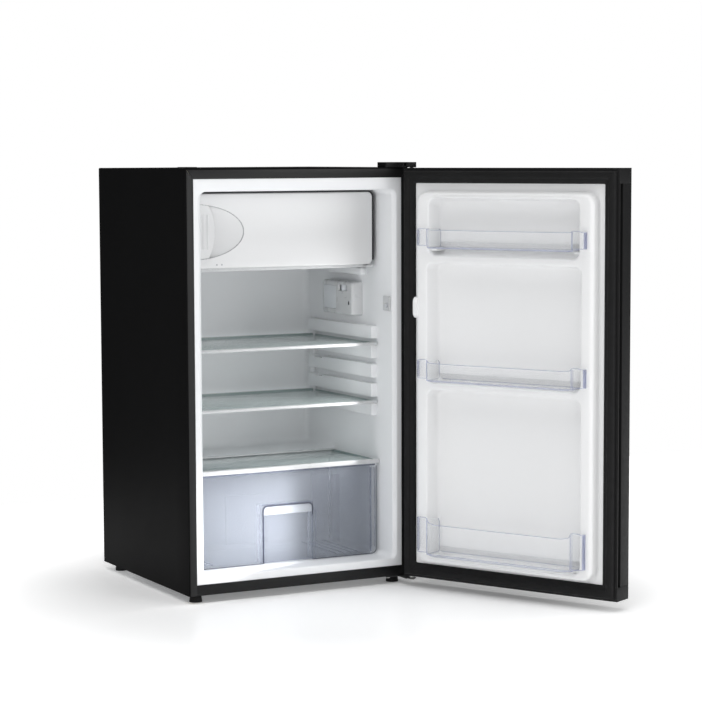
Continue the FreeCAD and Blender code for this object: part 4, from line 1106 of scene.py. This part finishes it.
# ------------------------------------------------------------------ materials for the CAD nodes that stay
KEEP = {"base_pan": "galv", "condenser_tube": "condenser", "condenser_wires": "condenser", "filter_dryer": "copper",
        "refrigerant_lines": "copper", "evaporator": "alu", "foot_inserts": "white_part", "insulation_foam": "foam",
        "door_foam": "foam", "freezer_flap_pins": "zinc"}
for n_, mt in KEEP.items():
    ob = NODES[n_]
    ob.data.materials.clear()
    ob.data.materials.append(M[mt])
    ob.data.shade_smooth()
    ob.data.set_sharp_from_angle(angle=math.radians(35))

# ================================================================== stage
me_ = bpy.data.meshes.new("floor")
me_.from_pydata([(-3.5, -4.5, 0), (3.5, -4.5, 0), (3.5, 1.1, 0), (-3.5, 1.1, 0)], [], [(0, 1, 2, 3)])
floor = bpy.data.objects.new("floor", me_)
bpy.context.scene.collection.objects.link(floor)
fm = material("floor_white_glow_painted_shade", (0.93, 0.93, 0.93), 0.35, vary=0.004, vary_scale=0.7, rough_vary=0.03, bump=0.0, spec=0.3)
fb = [n for n in fm.node_tree.nodes if n.type == "BSDF_PRINCIPLED"][0]
fb.inputs["Emission Color"].default_value = (1, 1, 1, 1)
fb.inputs["Emission Strength"].default_value = 0.2
# the sheet glows though it is no lamp, weakly near the object and fully away from it: painted shade round the object,
# and an evenly white floor further out
fnt = fm.node_tree
ftc = fnt.nodes.new("ShaderNodeTexCoord")
fvl = fnt.nodes.new("ShaderNodeVectorMath")
fvl.operation = "LENGTH"
fmr = fnt.nodes.new("ShaderNodeMapRange")
fmr.interpolation_type = "SMOOTHSTEP"
fmr.inputs["From Min"].default_value = 0.34
fmr.inputs["From Max"].default_value = 0.85
fmr.inputs["To Min"].default_value = 0.13
fmr.inputs["To Max"].default_value = 0.66
foff = fnt.nodes.new("ShaderNodeVectorMath")
foff.operation = "SUBTRACT"
foff.inputs[1].default_value = (0.02, -0.25, 0.0)
fnt.links.new(ftc.outputs["Object"], foff.inputs[0])
fnt.links.new(foff.outputs[0], fvl.inputs[0])
fnt.links.new(fvl.outputs["Value"], fmr.inputs["Value"])
fnt.links.new(fmr.outputs[0], fb.inputs["Emission Strength"])
me_.materials.append(fm)

w = bpy.data.worlds.new("studio")
bpy.context.scene.world = w
w.use_nodes = True
wn = w.node_tree
for n_ in list(wn.nodes):
    wn.nodes.remove(n_)
wo = wn.nodes.new("ShaderNodeOutputWorld")
bgc = wn.nodes.new("ShaderNodeBackground")
bgc.inputs["Color"].default_value = (1, 1, 1, 1)
bgc.inputs["Strength"].default_value = 1.0
bgl = wn.nodes.new("ShaderNodeBackground")
bgl.inputs["Color"].default_value = (0.96, 0.98, 1, 1)
bgl.inputs["Strength"].default_value = 1.0
# softer from behind, full from the front
wtc = wn.nodes.new("ShaderNodeTexCoord")
wsep = wn.nodes.new("ShaderNodeSeparateXYZ")
wn.links.new(wtc.outputs["Generated"], wsep.inputs[0])
wr = wn.nodes.new("ShaderNodeMapRange")
wr.inputs["From Min"].default_value = 0.35
wr.inputs["From Max"].default_value = -0.75
wr.inputs["To Min"].default_value = 0.07
wr.inputs["To Max"].default_value = 0.31
wn.links.new(wsep.outputs["Y"], wr.inputs["Value"])
wn.links.new(wr.outputs[0], bgl.inputs["Strength"])
mixw = wn.nodes.new("ShaderNodeMixShader")
lp = wn.nodes.new("ShaderNodeLightPath")
wn.links.new(lp.outputs["Is Camera Ray"], mixw.inputs[0])
wn.links.new(bgl.outputs[0], mixw.inputs[1])
wn.links.new(bgc.outputs[0], mixw.inputs[2])
wn.links.new(mixw.outputs[0], wo.inputs[0])


def area(name, loc, target, size, power, color=(1, 1, 1)):
    ld = bpy.data.lights.new(name, "AREA")
    ld.shape = "RECTANGLE"
    ld.size, ld.size_y = size
    ld.energy = power
    ld.color = color
    ob = bpy.data.objects.new(name, ld)
    ob.location = loc
    ob.rotation_euler = (Vector(target) - Vector(loc)).to_track_quat("-Z", "Y").to_euler()
    bpy.context.scene.collection.objects.link(ob)
    return ob


area("key_right", (1.9, -3.7, 1.5), (0.0, 0.0, 0.42), (1.7, 1.9), 38)
area("fill_left", (-3.0, -2.6, 1.5), (0.4, -0.4, 0.42), (1.8, 1.8), 20)
for nm_, loc, tgt, size, e in (("inside_upper", (0.12, -0.205, 0.41), (-0.30, 0.155, 0.42), (0.10, 0.34), 0.33),
                               ("inside_lower", (-0.09, -0.214, 0.14), (-0.20, 0.10, 0.15), (0.22, 0.16), 0.31)):
    lo_ = area(nm_, loc, tgt, size, e)
    lo_.visible_camera = False
    lo_.visible_glossy = False
sd = bpy.data.lights.new("overhead", "SUN")
sd.energy = 2.0
sd.angle = math.radians(66)
so = bpy.data.objects.new("overhead", sd)
so.rotation_euler = (math.radians(5), math.radians(-12), 0)
bpy.context.scene.collection.objects.link(so)

sc = bpy.context.scene
sc.view_settings.view_transform = "Standard"
sc.view_settings.look = "None"
sc.view_settings.exposure = 0.0
sc.view_settings.gamma = 1.0

cam_d = bpy.data.cameras.new("camera")
cam = bpy.data.objects.new("camera", cam_d)
sc.collection.objects.link(cam)
cam_d.sensor_width = 36.0
cam_d.lens = 2244.8 / 727.0 * 36.0
yaw, pitch, roll = math.radians(27.973), math.radians(5.3146), math.radians(-0.2135)
fwd = Vector((math.sin(yaw) * math.cos(pitch), math.cos(yaw) * math.cos(pitch), -math.sin(pitch)))
right = Vector((math.cos(yaw), -math.sin(yaw), 0.0))
up = right.cross(fwd)
r2 = right * math.cos(roll) + up * math.sin(roll)
u2 = up * math.cos(roll) - right * math.sin(roll)
cam.matrix_world = Matrix(((r2.x, u2.x, -fwd.x, -1.9133), (r2.y, u2.y, -fwd.y, -3.8065 - 0.215), (r2.z, u2.z, -fwd.z, 0.8396), (0, 0, 0, 1)))
cam_d.clip_end = 60.0
sc.camera = cam
